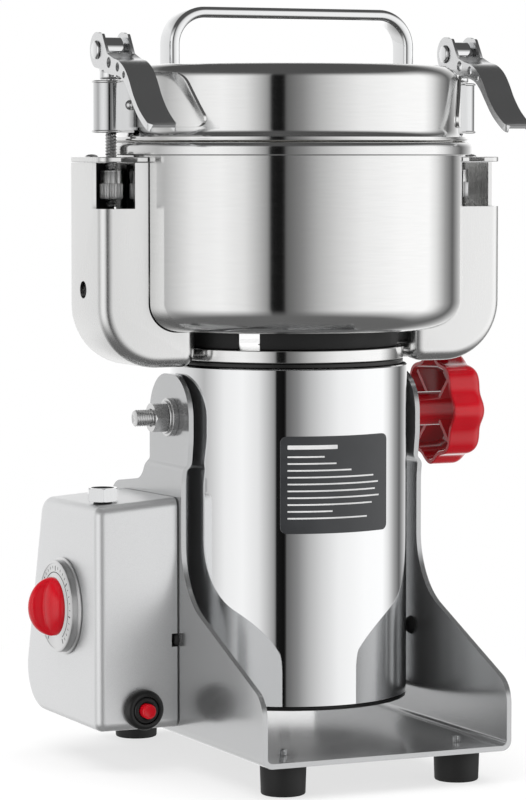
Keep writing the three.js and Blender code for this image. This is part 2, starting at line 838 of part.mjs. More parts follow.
function makeBowl(head) {
  const bore = SHAFT_R + 9;
  const gasket = ring(bore, NECK_R - 0.4, MOTOR_TOP + GAP, NECK_RING_Z - GAP, BIG);
  const neckRing = ring(bore, NECK_R, NECK_RING_Z, NECK_BAND_Z - GAP, BIG);
  const band = ring(bore, NECK_BAND_R, NECK_BAND_Z, BOWL_BOTTOM - GAP, BIG);
  piece("neck_gasket", gasket, BLACK_RUBBER, head);
  piece("neck_ring", neckRing, STEEL, head);
  piece("neck_band", band, BLACK_RUBBER, head);
  piece("grinding_bowl", grindingBowl(), STEEL, head);
  piece("shaft_seal", shaftSeal(), SEAL_RUBBER, head);
  piece("arm_left", arm(WINDOW_IN_X, 1), STEEL, head);
  piece("arm_cap_left", armCap(), STEEL, head);
  // The right arm mirrors the left, but its window runs on to the bowl so that the clamp rod can leave,
  // and its underside is relieved over the tilt knob.
  const knobReach = TILT_KNOB_R + TILT_KNOB_WAVE;
  piece("arm_right", arm(-BOWL_R + 10, knobReach + 1.5), STEEL, head).scale.x = -1;
  piece("arm_cap_right", armCap(), STEEL, head).scale.x = -1;
}

// ---- rotor ----

const LOWER_BLADE_Z = 221.5;
const CARRIER_Z = 233;
const CARRIER_GAP = 6; // between the carrier's two plates
const CARRIER_PLATE = 2.5;
const HAMMER_PIN_R = 2.5;
const HAMMER_AT = 26; // radius of the hammer pins
const UPPER_BLADE_Z = 247.5;

function armature() {
  return rod(31, 86, 138, Z, [0, 0, 0], 24)
    .add(rod(14.5, 59, 73, Z, [0, 0, 0], MID))
    .add(rod(9, 70, 90))
    .subtract(rod(SHAFT_BORE, 0, FAR));
}

/** The cooling fan: a hub, a thin disc and seven straight vanes. */
function coolingFan() {
  const z0 = 48;
  let fan = rod(48, z0, z0 + 1.5, Z, [0, 0, 0], BIG).add(rod(11, z0, z0 + 9));
  const vanes = 7;
  for (let i = 0; i < vanes; i++) {
    const vane = new THREE.BoxGeometry(36, 1.5, 9).translate(28, 0, z0 + 4.5);
    fan = fan.add(solid(vane.rotateZ((2 * Math.PI * i) / vanes)));
  }
  return fan.subtract(rod(SHAFT_BORE, 0, FAR));
}

/** A flat two-ended blade with tips bent up, sharpened towards its ends. */
function blade(halfLength, width, z0, lift) {
  const thick = 2.2;
  const side = outline([
    [-halfLength, z0 + lift],
    [-halfLength * 0.55, z0],
    [halfLength * 0.55, z0],
    [halfLength, z0 + lift],
    [halfLength, z0 + lift + thick],
    [halfLength * 0.55, z0 + thick],
    [-halfLength * 0.55, z0 + thick],
    [-halfLength, z0 + lift + thick],
  ]);
  const plan = outline([
    [-halfLength, -width * 0.2],
    [-12, -width / 2],
    [12, -width / 2],
    [halfLength, -width * 0.2],
    [halfLength, width / 2],
    [-halfLength, width / 2],
  ]);
  return prismY(side, -width, width)
    .intersect(prismZ(plan, z0 - 20, z0 + 40))
    .subtract(rod(SHAFT_BORE, 0, FAR));
}

/** The hammer carrier: two plates on a hub, with a pin at each end between them. */
function hammerCarrier() {
  const top = CARRIER_Z + CARRIER_PLATE + CARRIER_GAP;
  const strap = outline([
    [-HAMMER_AT - 7, -9, 8],
    [HAMMER_AT + 7, -9, 8],
    [HAMMER_AT + 7, 9, 8],
    [-HAMMER_AT - 7, 9, 8],
  ]);
  let carrier = prismZ(strap, CARRIER_Z, CARRIER_Z + CARRIER_PLATE)
    .add(prismZ(strap, top, top + CARRIER_PLATE))
    .add(rod(10, LOWER_BLADE_Z + 3, UPPER_BLADE_Z - GAP, Z, [0, 0, 0], MID));
  for (const side of [-1, 1]) {
    const at = [side * HAMMER_AT, 0, 0];
    carrier = carrier.add(rod(HAMMER_PIN_R, CARRIER_Z - 1, top + CARRIER_PLATE + 1, Z, at));
  }
  return carrier.subtract(rod(SHAFT_BORE, 0, FAR));
}

/** A swinging hammer, from its pin outwards along +X. */
function hammer() {
  const thick = CARRIER_GAP - 1;
  const shape = outline([
    [-6, -6.5, 5],
    [34, -6.5],
    [38, -8],
    [38, 8],
    [34, 6.5],
    [-6, 6.5, 5],
  ]);
  return prismZ(shape, -thick / 2, thick / 2).subtract(rod(HAMMER_PIN_R + RUNNING_GAP, -9, 9));
}

function rotorNut() {
  const z0 = UPPER_BLADE_Z + 2.2 + GAP;
  return prismZ(hexagon(19), z0 + 1.6, z0 + 8)
    .add(rod(12, z0, z0 + 2, Z, [0, 0, 0], MID))
    .subtract(rod(SHAFT_BORE, 0, FAR));
}

function makeRotor(head) {
  const rotor = new THREE.Group();
  head.add(rotor);
  const shaftTop = UPPER_BLADE_Z + 14;
  piece("main_shaft", rod(SHAFT_R, LOWER_BEARING_Z, shaftTop, Z, [0, 0, 0], MID), TOOL_STEEL, rotor);
  piece("armature", armature(), COPPER, rotor);
  piece("cooling_fan", coolingFan(), BLACK_PLASTIC, rotor);
  piece("lower_blade", blade(74, 17, LOWER_BLADE_Z, 5), TOOL_STEEL, rotor);
  piece("hammer_carrier", hammerCarrier(), TOOL_STEEL, rotor);
  const upper = piece("upper_blade", blade(52, 16, UPPER_BLADE_Z, 10), TOOL_STEEL, rotor);
  upper.rotation.z = Math.PI / 2;
  piece("rotor_nut", rotorNut(), STEEL, rotor);
  const middle = CARRIER_Z + CARRIER_PLATE + CARRIER_GAP / 2;
  for (const [name, side] of [["hammer_left", -1], ["hammer_right", 1]]) {
    const swung = piece(name, hammer(), TOOL_STEEL, rotor);
    swung.position.set(side * HAMMER_AT, 0, middle);
    swung.rotation.z = side < 0 ? Math.PI : 0;
  }
}

// ---- tilt knob ----

/** The knob's wavy rim, grown by `grow`. */
function lobes(grow) {
  const points = Array.from({ length: TILT_KNOB_LOBES * 5 }, (_, i) => {
    const angle = (2 * Math.PI * i) / (TILT_KNOB_LOBES * 5);
    const radius = TILT_KNOB_R + grow + TILT_KNOB_WAVE * Math.cos(TILT_KNOB_LOBES * angle);
    return new THREE.Vector2(radius * Math.cos(angle), radius * Math.sin(angle));
  });
  return new THREE.Shape(points);
}

/** The tilt knob: a scalloped cup that opens towards the upright, with ribs, a hub and its stud. */
function tiltKnob() {
  const round = 4;
  const wall = 2.4;
  const start = TILT_KNOB_START;
  let knob = prismX(lobes(0), start - round, TILT_KNOB_END, { round })
    .subtract(prismX(lobes(-wall), start - 20, TILT_KNOB_END - 4, { round: 1 }))
    .subtract(block(-FAR, start, -FAR, FAR, -FAR, FAR));
  for (const turn of [0.25, 0.75]) {
    const rib = new THREE.BoxGeometry(14, 2, 2 * TILT_KNOB_R - 2).translate(start + 9.5, 0, 0);
    knob = knob.add(solid(rib.rotateX(turn * Math.PI)));
  }
  return knob.add(rod(8.5, 67.4, start + 16, X)).add(rod(PIVOT_R, 46, 70, X));
}

// ---- lid and clamps ----

/** The lid: a drawn shell with a flared skirt, whose lip holds the gasket. */
function lidShell() {
  const lip = 1.2;
  const seat = LID_FLANGE_Z + 1.8;
  const inner = LID_R - LID_WALL;
  const cornerZ = LID_TOP - LID_CORNER;
  const flare = LID_FLANGE_R - LID_R;
  return turned(
    [
      [LID_FLANGE_R - lip, LID_FLANGE_Z],
      [LID_FLANGE_R, LID_FLANGE_Z],
      [LID_FLANGE_R, LID_FLANGE_Z + 0.9],
      [LID_R + flare * 0.5, LID_FLANGE_Z + 2.2],
      [LID_R + flare * 0.15, LID_FLANGE_Z + 3.8],
      [LID_R, LID_SKIRT_Z],
      ...arc(LID_R - LID_CORNER, cornerZ, LID_CORNER, 0, 90),
      [0, LID_TOP + 0.4],
      [0, LID_TOP + 0.4 - LID_WALL],
      ...arc(LID_R - LID_CORNER, cornerZ, LID_CORNER - LID_WALL, 90, 0),
      [inner, seat],
      [LID_FLANGE_R - lip, seat],
    ],
    BIG,
  );
}

/** The lid's handle: a flat bar bent into a bail. */
function lidHandle() {
  const foot = LID_TOP + 0.4 + GAP;
  const bend = 18.7;
  const inX = HANDLE_X - HANDLE_BAR;
  const inTop = HANDLE_TOP - HANDLE_BAR;
  const low = foot - 10;
  const shape = outline([
    [-HANDLE_X, low],
    [-inX, low],
    [-inX, inTop, bend - HANDLE_BAR],
    [inX, inTop, bend - HANDLE_BAR],
    [inX, low],
    [HANDLE_X, low],
    [HANDLE_X, HANDLE_TOP, bend],
    [-HANDLE_X, HANDLE_TOP, bend],
  ]);
  const bail = prismY(shape, -HANDLE_DEPTH / 2, HANDLE_DEPTH / 2, { round: 2.2, curveSegments: 3 });
  return bail.subtract(block(-FAR, FAR, -FAR, FAR, 0, foot));
}

/** The left ear: a strap wrapped round the clamp rod, lips at its ends, and a saddle on the lid's wall. */
function ear() {
  const wallX = -LID_R - GAP;
  const at = [-ROD_X, 0, 0];
  const strap = rod(EAR_R, EAR_BOTTOM, EAR_TOP, Z, at, MID).add(
    block(-ROD_X, wallX + 0.6, -EAR_R, EAR_R, EAR_BOTTOM + 1, EAR_TOP),
  );
  const inside = EAR_R - EAR_SHEET;
  const hollow = rod(inside, 0, FAR, Z, at, MID).add(block(-ROD_X, 0, -inside, inside, 0, FAR));
  const lips = ring(ROD_R + RUNNING_GAP, 9.1, EAR_BOTTOM - 1.3, EAR_BOTTOM + 0.2, MID, Z, at).add(
    ring(ROD_R + RUNNING_GAP, 9.1, EAR_TOP - 0.2, EAR_TOP + 1.3, MID, Z, at),
  );
  const low = 54; // the saddle's half width at its foot
  const high = 41;
  const saddleShape = outline([
    [-low, LID_SKIRT_Z + 0.8, 4],
    [low, LID_SKIRT_Z + 0.8, 4],
    [high, EAR_SADDLE_TOP, 10],
    [-high, EAR_SADDLE_TOP, 10],
  ]);
  const saddle = ring(LID_R + GAP, LID_R + GAP + EAR_SADDLE, EAR_BOTTOM, LID_TOP, FINE).intersect(
    prismX(saddleShape, -FAR, -20),
  );
  const clearance = rod(LID_R + GAP, 0, FAR, Z, [0, 0, 0], FINE);
  return strap.subtract(hollow).subtract(clearance).add(lips).add(saddle);
}

/** The pinch screw of an ear, its head on the strap's front. */
function earScrew() {
  const face = -EAR_R - GAP;
  const profile = [
    [0, face - 2],
    [1.4, face - 2],
    [2.6, face - 0.8],
    [2.6, face],
    [0, face],
  ];
  return turned(profile, SMALL, Y);
}

/** A clamp rod: the threaded stem, its collar above the ear, and the eye that the lever's pin goes through. */
function clampRod() {
  const collarZ = EAR_TOP + 1.3 + RUNNING_GAP;
  return turned(
    [
      [0, ROD_BOTTOM],
      [ROD_R - 0.7, ROD_BOTTOM],
      [ROD_R, ROD_BOTTOM + 0.8],
      [ROD_R, collarZ],
      [5.4, collarZ],
      [5.4, collarZ + 4.6],
      [0, collarZ + 4.6],
    ],
    SMALL,
  )
    .add(block(-4.4, 4.4, -3.6, 3.6, collarZ + 4, LEVER_PIN_Z))
    .add(rod(6.2, -4.4, 4.4, X, [0, 0, LEVER_PIN_Z]))
    .subtract(rod(3.4, -9, 9, X, [0, 0, LEVER_PIN_Z]));
}

/** The knurled nut under the arm's top plate. */
function clampNut() {
  const knurls = 12;
  const points = Array.from({ length: knurls * 2 }, (_, i) => {
    const angle = (Math.PI * i) / knurls;
    const radius = i % 2 ? 5.2 : 5.6;
    return new THREE.Vector2(radius * Math.cos(angle), radius * Math.sin(angle));
  });
  const smooth = [
    [0, NUT_KNURL_TOP - 0.5],
    [5.2, NUT_KNURL_TOP - 0.5],
    [5.2, NUT_TOP - 1.1],
    [4.4, NUT_TOP],
    [0, NUT_TOP],
  ];
  return prismZ(new THREE.Shape(points), NUT_BOTTOM, NUT_KNURL_TOP)
    .add(turned(smooth, MID))
    .subtract(rod(ROD_R + GAP, 0, FAR));
}

/** The headed pin of a clamp lever. */
function leverPin() {
  const head = LEVER_HALF + GAP;
  const profile = [
    [0, -head - 1.2],
    [3.8, -head - 1.2],
    [4.6, -head],
    [3, -head],
    [3, head],
    [4.6, head],
    [3.8, head + 1.2],
    [0, head + 1.2],
  ];
  return turned(profile, SMALL, X);
}

/** The lever's top line from near the pin to its tip, seen from the side, as (Y, Z) from the pin. */
const LEVER_LINE = new THREE.CatmullRomCurve3(
  [
    [-12, -1.5],
    [-20, -4.2],
    [-28, -6],
    [-35, -9.6],
    [-40.5, -15],
    [-46, -22.4],
    [-53, -29.2],
    [-61, -34.4],
    [-65.5, -36.4],
  ].map(([y, z]) => new THREE.Vector3(y, z, 0)),
);

/** The holes through the lever's sides, as [Y, Z, radius] from the pin. */
const LEVER_HOLES = [
  [-15.5, -6.4, 2.6],
  [-26.4, -8.8, 2.2],
  [-34.2, -12.6, 1.7],
];

/** A band that hangs under the lever's line, its depth changing from `deep` to `shallow`. */
function leverBand(deep, shallow) {
  const steps = 8;
  const top = LEVER_LINE.getSpacedPoints(steps);
  const under = top.map((p, i) => {
    const tangent = LEVER_LINE.getTangentAt(i / steps);
    const depth = THREE.MathUtils.lerp(deep, shallow, Math.min(1, (1.6 * i) / steps));
    return new THREE.Vector2(p.x - tangent.y * depth, p.y + tangent.x * depth);
  });
  const points = [...top.map((p) => new THREE.Vector2(p.x, p.y)), ...under.reverse()];
  return new THREE.Shape(points);
}

/** The clamp lever: a curved channel with two lugs round the pin and weight-saving holes in its sides. */
function clampLever() {
  const inside = LEVER_HALF - LEVER_SHEET;
  const band = prismX(leverBand(LEVER_SHEET, LEVER_SHEET), -LEVER_HALF, LEVER_HALF);
  const lug = outline([[1, -8.5], [2, 8.3, 2], [-7, 7.6, 2], [-13, -1.6], [-13, -10.5]]);
  const cheeks = prismX(leverBand(9.5, 3.4), -LEVER_HALF, LEVER_HALF)
    .add(rod(8.6, -LEVER_HALF, LEVER_HALF, X))
    .add(prismX(lug, -LEVER_HALF, LEVER_HALF))
    .subtract(block(-inside, inside, -FAR, FAR, -FAR, FAR));
  let lever = band.add(cheeks).subtract(rod(3.4, -FAR, FAR, X));
  const plan = outline([
    [-LEVER_HALF - 1, 20],
    [-LEVER_HALF - 1, -58],
    [-LEVER_HALF, -66.5, 6],
    [LEVER_HALF, -66.5, 6],
    [LEVER_HALF + 1, -58],
    [LEVER_HALF + 1, 20],
  ]);
  lever = lever.intersect(prismZ(plan, -60, 60));
  for (const [y, z, radius] of LEVER_HOLES) {
    lever = lever.subtract(rod(radius, -FAR, FAR, X, [0, y, z], 8));
  }
  return lever;
}

function lidGasket() {
  return ring(78, LID_FLANGE_R - 1.5, RIM_Z + GAP, LID_FLANGE_Z + 1.5, BIG);
}

function makeLid(head) {
  const lid = new THREE.Group();
  head.add(lid);
  piece("lid_shell", lidShell(), STEEL, lid);
  piece("lid_gasket", lidGasket(), SEAL_RUBBER, lid);
  piece("lid_handle", lidHandle(), CHROME, lid);
  piece("ear_left", ear(), STEEL, lid);
  piece("ear_right", ear(), STEEL, lid).rotation.z = Math.PI;
  for (const [name, side] of [["left", -1], ["right", 1]]) {
    const clamp = new THREE.Group();
    clamp.position.x = side * ROD_X;
    lid.add(clamp);
    piece("clamp_rod_" + name, clampRod(), STEEL, clamp);
    piece("clamp_nut_" + name, clampNut(), STEEL, clamp);
    piece("lever_pin_" + name, leverPin(), CHROME, clamp).position.z = LEVER_PIN_Z;
    piece("clamp_lever_" + name, clampLever(), CHROME, clamp).position.z = LEVER_PIN_Z;
    piece("ear_screw_" + name, earScrew(), STEEL, clamp).position.set(-side * 6.9, 0, EAR_SCREW_Z);
  }
}

// ---- assembly ----
const mill = new THREE.Group();
const fromAxis = new THREE.Group();
fromAxis.position.set(-MIDDLE_X, -MIDDLE_Y, 0);
mill.add(fromAxis);
makeBase(fromAxis);
const head = new THREE.Group();
fromAxis.add(head);
makeMotor(head);
makeBowl(head);
makeRotor(head);
piece("tilt_knob", tiltKnob(), RED_PLASTIC, head).position.z = PIVOT_Z;
makeLid(head);

export default mill;
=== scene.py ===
"""A benchtop hammer mill with a tilting head: the visual model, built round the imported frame.

Shapes are made in millimetres from the head's axis (X = Y = 0 on the axis, Z = 0 on the floor, -Y the front)
and placed in the frame at the end.
"""
import math

import bpy
from mathutils import Matrix, Vector


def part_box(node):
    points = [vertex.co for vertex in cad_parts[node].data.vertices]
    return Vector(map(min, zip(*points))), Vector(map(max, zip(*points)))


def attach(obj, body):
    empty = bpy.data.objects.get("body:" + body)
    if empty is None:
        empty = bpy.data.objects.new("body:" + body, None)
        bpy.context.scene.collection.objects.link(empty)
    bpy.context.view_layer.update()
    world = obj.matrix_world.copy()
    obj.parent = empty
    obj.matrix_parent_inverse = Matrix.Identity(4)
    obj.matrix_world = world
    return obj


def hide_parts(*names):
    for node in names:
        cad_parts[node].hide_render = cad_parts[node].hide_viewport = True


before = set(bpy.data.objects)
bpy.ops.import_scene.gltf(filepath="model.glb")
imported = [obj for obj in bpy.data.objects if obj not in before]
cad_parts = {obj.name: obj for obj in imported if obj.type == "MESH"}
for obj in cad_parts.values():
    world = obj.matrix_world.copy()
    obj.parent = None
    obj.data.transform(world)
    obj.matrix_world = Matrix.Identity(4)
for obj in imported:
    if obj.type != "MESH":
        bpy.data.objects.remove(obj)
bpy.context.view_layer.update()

MM = 0.001

# ---- places that come from the frame ----


def middle(node):
    low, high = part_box(node)
    return (low + high) / 2


AXIS = Vector((middle("grinding_bowl").x, middle("grinding_bowl").y, 0))


def span(node):
    """A CAD node's lowest and highest corner, in millimetres from the head's axis."""
    low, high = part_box(node)
    return (low - AXIS) / MM, (high - AXIS) / MM


BASE_LOW, BASE_HIGH = span("base_frame")
BOX_LOW, BOX_HIGH = span("switch_box")
DIAL_LOW, DIAL_HIGH = span("timer_dial")
MOTOR_LOW, MOTOR_HIGH = span("motor_housing")
COVER_LOW = span("bottom_cover")[0]
PLATE_LOW, PLATE_HIGH = span("rating_plate")
BOWL_LOW, BOWL_HIGH = span("grinding_bowl")
LID_LOW, LID_HIGH = span("lid_shell")
HANDLE_LOW, HANDLE_HIGH = span("lid_handle")
ARM_LOW, ARM_HIGH = span("arm_left")
CAP_LOW, CAP_HIGH = span("arm_cap_left")
EAR_HIGH = span("ear_left")[1]
NUT_LOW, NUT_HIGH = span("clamp_nut_left")
KNOB_LOW, KNOB_HIGH = span("tilt_knob")

# ---- driving sizes, in millimetres ----
SHEET = 2.5
FRAME_X = BASE_HIGH.x
BASE_TOP = BASE_LOW.z + SHEET
JOGGLE = 2.6
JOGGLE_Z = 147
PIVOT_Z = (KNOB_LOW.z + KNOB_HIGH.z) / 2
PIVOT_R = 4.2
PIVOT_PITCH = 1.25
BUMPER_Y = -12
BUMPER_Z = 64
STUD_R = 2

BOX_WALL = 2
BOX_RISE = 0.075
BOX_TOP = 130.6
DIAL_Y = (DIAL_LOW.y + DIAL_HIGH.y) / 2
DIAL_Z = (DIAL_LOW.z + DIAL_HIGH.z) / 2
DIAL_R = DIAL_HIGH.y - DIAL_Y
DIAL_BORE_R = 5.2
BREAKER_X = -84.7
BREAKER_Z = 31.2
BREAKER_BORE_R = 6.8
BOX_FRONT = BOX_LOW.y
GLAND_X = -99
GLAND_Y = 1

MOTOR_R = MOTOR_HIGH.x
NECK_BORE_R = 15
NECK_SLOT = (-24.5, -14)
BOWL_R = 86.5
BOWL_WALL = 1.5
BOWL_CORNER = 14
COLLAR_R = BOWL_HIGH.x
COLLAR_Z = 300
LID_R = 84
LID_CORNER = 7.5
LID_TOP = LID_HIGH.z - 0.4
ARM_HALF = ARM_HIGH.y
ARM_BEND = 30
ARM_EDGE = 6
ARM_WALL = 2
WINDOW_Z = 274.3
WINDOW_BACK_Y = -10.7
ARM_HOLE = Vector((0, 1.6, 235))
ARM_HOLE_R = 4.2

KNOB_EDGE = 6.5
KNOB_RIM_X = 79
FLUTE_DEPTH = 2.8

ROD_X = 94.5
ROD_R = 2.9
EAR_R = 8.5
EAR_BOTTOM = 312
EAR_TOP = 334.6
PIN_Z = 350.5
PIN_R = 3
PIN_HOLE_R = 3.4
LEVER_HALF = 7.3
LEVER_SHEET = 1.4
FAR = 400

# ---- mesh building ----


def linked(name, data):
    """A new object in the scene."""
    made = bpy.data.objects.new(name, data)
    bpy.context.scene.collection.objects.link(made)
    return made


def mesh_object(points, faces):
    """A new object whose faces all look outwards."""
    mesh = bpy.data.meshes.new("made")
    mesh.from_pydata([tuple(p) for p in points], [], faces)
    volume = 0.0
    for face in mesh.polygons:
        corner = [mesh.vertices[i].co for i in face.vertices]
        for b, c in zip(corner[1:-1], corner[2:]):
            volume += corner[0].dot(b.cross(c))
    if volume < 0:
        mesh.flip_normals()
    return linked("made", mesh)


def outline(corners, inset=0.0, steps=8):
    """A closed outline with rounded corners (u, v, radius), moved inwards by `inset`."""
    corners = [(*c, 0.0) if len(c) == 2 else c for c in corners]
    area = sum(a[0] * b[1] - b[0] * a[1] for a, b in zip(corners, corners[1:] + corners[:1]))
    if area < 0:
        corners = corners[::-1]
    points = []
    for i, (u, v, radius) in enumerate(corners):
        here = Vector((u, v))
        back = (here - Vector(corners[i - 1][:2])).normalized()
        ahead = (Vector(corners[(i + 1) % len(corners)][:2]) - here).normalized()
        back_in = Vector((-back.y, back.x))
        ahead_in = Vector((-ahead.y, ahead.x))
        here = here + (back_in + ahead_in) * (inset / (1 + back_in.dot(ahead_in)))
        if radius == 0:
            points.append(here)
            continue
        turn = math.atan2(back.x * ahead.y - back.y * ahead.x, back.dot(ahead))
        side = 1 if turn > 0 else -1
        radius = max(radius - side * inset, 0.01)
        start = here - back * (radius * math.tan(abs(turn) / 2))
        centre = start + back_in * (side * radius)
        arm = start - centre
        for k in range(steps + 1):
            a = turn * k / steps
            cos, sin = math.cos(a), math.sin(a)
            points.append(centre + Vector((arm.x * cos - arm.y * sin, arm.x * sin + arm.y * cos)))
    return points


def stand(u, v, depth, axis):
    """A point of an outline at a depth along an axis."""
    return {"X": (depth, u, v), "Y": (u, depth, v), "Z": (u, v, depth)}[axis]


def loft(rings):
    """A closed solid through rings of equal numbers of points."""
    count = len(rings[0])
    points = [p for ring in rings for p in ring]
    faces = [list(range(count))[::-1], [len(points) - count + i for i in range(count)]]
    for k in range(len(rings) - 1):
        for i in range(count):
            j = (i + 1) % count
            faces.append([k * count + i, k * count + j, (k + 1) * count + j, (k + 1) * count + i])
    return mesh_object(points, faces)


def slab(corners, low, high, axis, rounded=0.0, steps=8, edge_steps=5):
    """An outline extruded from low to high along an axis, its end edges rounded."""
    layers = [(0.0, low), (0.0, high)]
    if rounded:
        turns = [math.pi / 2 * k / edge_steps for k in range(edge_steps + 1)]
        start = [(rounded * (1 - math.sin(t)), low + rounded * (1 - math.cos(t))) for t in turns]
        layers = start + [(inset, high + low - depth) for inset, depth in start[::-1]]
    rings = []
    for inset, depth in layers:
        rings.append([stand(p.x, p.y, depth, axis) for p in outline(corners, inset, steps)])
    return loft(rings)


def block(x0, x1, y0, y1, z0, z1):
    return slab([(x0, y0), (x1, y0), (x1, y1), (x0, y1)], z0, z1, "Z")


def turned(point, axis):
    """A point made about the Z axis, turned to stand about another axis."""
    x, y, z = point
    return Vector({"Z": (x, y, z), "X": (z, x, y), "Y": (y, z, x)}[axis])


def lathe(profile, sides=64, axis="Z", at=(0, 0, 0)):
    """A profile of (radius, height) turned about an axis. It starts and ends on the axis, or closes."""
    points = []
    rings = []
    for radius, height in profile:
        if radius < 1e-6:
            rings.append([len(points)] * sides)
            points.append((0, 0, height))
            continue
        rings.append(list(range(len(points), len(points) + sides)))
        for i in range(sides):
            a = 2 * math.pi * i / sides
            points.append((radius * math.cos(a), radius * math.sin(a), height))
    on_axis = profile[0][0] < 1e-6 and profile[-1][0] < 1e-6
    pairs = list(zip(rings, rings[1:])) + ([] if on_axis else [(rings[-1], rings[0])])
    faces = []
    for low, high in pairs:
        for i in range(sides):
            j = (i + 1) % sides
            face = list(dict.fromkeys([low[i], low[j], high[j], high[i]]))
            if len(face) > 2:
                faces.append(face)
    return mesh_object([turned(p, axis) + Vector(at) for p in points], faces)


def rod(radius, low, high, axis="Z", at=(0, 0, 0), sides=48):
    return lathe([(0, low), (radius, low), (radius, high), (0, high)], sides, axis, at)


def arc(r, h, radius, start, end, steps=8):
    """Points (radius, height) on an arc about (r, h), from one angle to another in degrees."""
    turns = [math.radians(start + (end - start) * i / steps) for i in range(steps + 1)]
    return [(r + radius * math.cos(a), h + radius * math.sin(a)) for a in turns]


def hexagon(across_flats):
    radius = across_flats / math.sqrt(3)
    turns = [math.pi / 3 * i for i in range(6)]
    return [(radius * math.cos(a), radius * math.sin(a)) for a in turns]


def bake(obj):
    """Applies an object's modifiers."""
    graph = bpy.context.evaluated_depsgraph_get()
    mesh = bpy.data.meshes.new_from_object(obj.evaluated_get(graph))
    obj.modifiers.clear()
    obj.data = mesh
    return obj


def combine(obj, tools, operation):
    """Cuts an object with tools, joins them to it, or keeps what they share; the tools are used up."""
    for tool in tools:
        step = obj.modifiers.new("combine", "BOOLEAN")
        step.operation = operation
        step.solver = "MANIFOLD"
        step.object = tool
    bpy.context.view_layer.update()
    bake(obj)
    for tool in tools:
        bpy.data.objects.remove(tool)
    return obj


def cut(obj, *tools):
    return combine(obj, tools, "DIFFERENCE")


def join(obj, *tools):
    return combine(obj, tools, "UNION")


def share(obj, *tools):
    return combine(obj, tools, "INTERSECT")


def moved(obj, offset=(0, 0, 0), turn=0.0, axis="Z", mirror_x=False):
    """Turns an object's mesh about an axis through the origin by degrees, mirrors it, and then shifts it."""
    place = Matrix.Translation(offset) @ Matrix.Rotation(math.radians(turn), 4, axis)
    if mirror_x:
        place = Matrix.Scale(-1, 4, (1, 0, 0)) @ place
    obj.data.transform(place)
    if mirror_x:
        obj.data.flip_normals()
    return obj


def soften(obj, width=0.3, segments=2, angle=32, harden=True):
    """Rounds an object's sharp edges a little, so that they catch the light."""
    step = obj.modifiers.new("soft edges", "BEVEL")
    step.width = width
    step.segments = segments
    step.limit_method = "ANGLE"
    step.angle_limit = math.radians(angle)
    step.harden_normals = harden
    step.use_clamp_overlap = True
    return obj


def placed(obj, name, body, material, nodes=(), smooth_angle=32):
    """Finishes a piece: name, place, smoothing, material, body and the nodes it stands for.

    The red plastic is left out of reflections, so that it doesn't tint the steel.
    """
    mesh = obj.data
    mesh.shade_smooth()
    mesh.set_sharp_from_angle(angle=math.radians(smooth_angle))
    if obj.modifiers:
        bake(obj)
        mesh = obj.data
    mesh.transform(Matrix.Translation(AXIS) @ Matrix.Scale(MM, 4))
    mesh.materials.clear()
    mesh.materials.append(material)
    obj.name = name
    mesh.name = name
    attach(obj, body)
    obj.visible_glossy = material != RED_PLASTIC
    if nodes:
        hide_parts(*nodes)
    return obj


# ---- materials ----


def new_material(name):
    material = bpy.data.materials.new(name)
    material.use_nodes = True
    return material, material.node_tree, material.node_tree.nodes["Principled BSDF"]


def noise(tree, scale, stretch=(1, 1, 1), detail=2.0, seed=0.0):
    """A noise value in the object's own space, its scale per metre; a larger stretch is finer there."""
    coordinates = tree.nodes.new("ShaderNodeTexCoord")
    mapping = tree.nodes.new("ShaderNodeMapping")
    mapping.inputs["Scale"].default_value = [scale * s for s in stretch]
    mapping.inputs["Location"].default_value = (seed, seed, seed)
    texture = tree.nodes.new("ShaderNodeTexNoise")
    texture.inputs["Scale"].default_value = 1.0
    texture.inputs["Detail"].default_value = detail
    tree.links.new(coordinates.outputs["Object"], mapping.inputs["Vector"])
    tree.links.new(mapping.outputs["Vector"], texture.inputs["Vector"])
    return texture.outputs["Fac"]


def between(tree, value, low, high):
    """A 0 to 1 value spread to run from low to high; noise keeps mostly to its middle third."""
    spread = tree.nodes.new("ShaderNodeMapRange")
    spread.inputs["From Min"].default_value = 0.3
    spread.inputs["From Max"].default_value = 0.7
    spread.inputs["To Min"].default_value = low
    spread.inputs["To Max"].default_value = high
    tree.links.new(value, spread.inputs["Value"])
    return spread.outputs["Result"]


def bump(tree, shader, value, height):
    """Relief from a value, its full height in millimetres."""
    step = tree.nodes.new("ShaderNodeBump")
    step.inputs["Strength"].default_value = 1.0
    step.inputs["Distance"].default_value = height * MM
    tree.links.new(value, step.inputs["Height"])
    tree.links.new(step.outputs["Normal"], shader.inputs["Normal"])


def shade(tree, shader, value, dark, light):
    """A base colour that varies between two."""
    mix = tree.nodes.new("ShaderNodeMix")
    mix.data_type = "RGBA"
    mix.inputs["A"].default_value = (*dark, 1)
    mix.inputs["B"].default_value = (*light, 1)
    tree.links.new(value, mix.inputs["Factor"])
    tree.links.new(mix.outputs["Result"], shader.inputs["Base Color"])


def tinted(color, change):
    """A colour made lighter or darker by a share of itself."""
    return tuple(min(1, c * (1 + change)) for c in color)


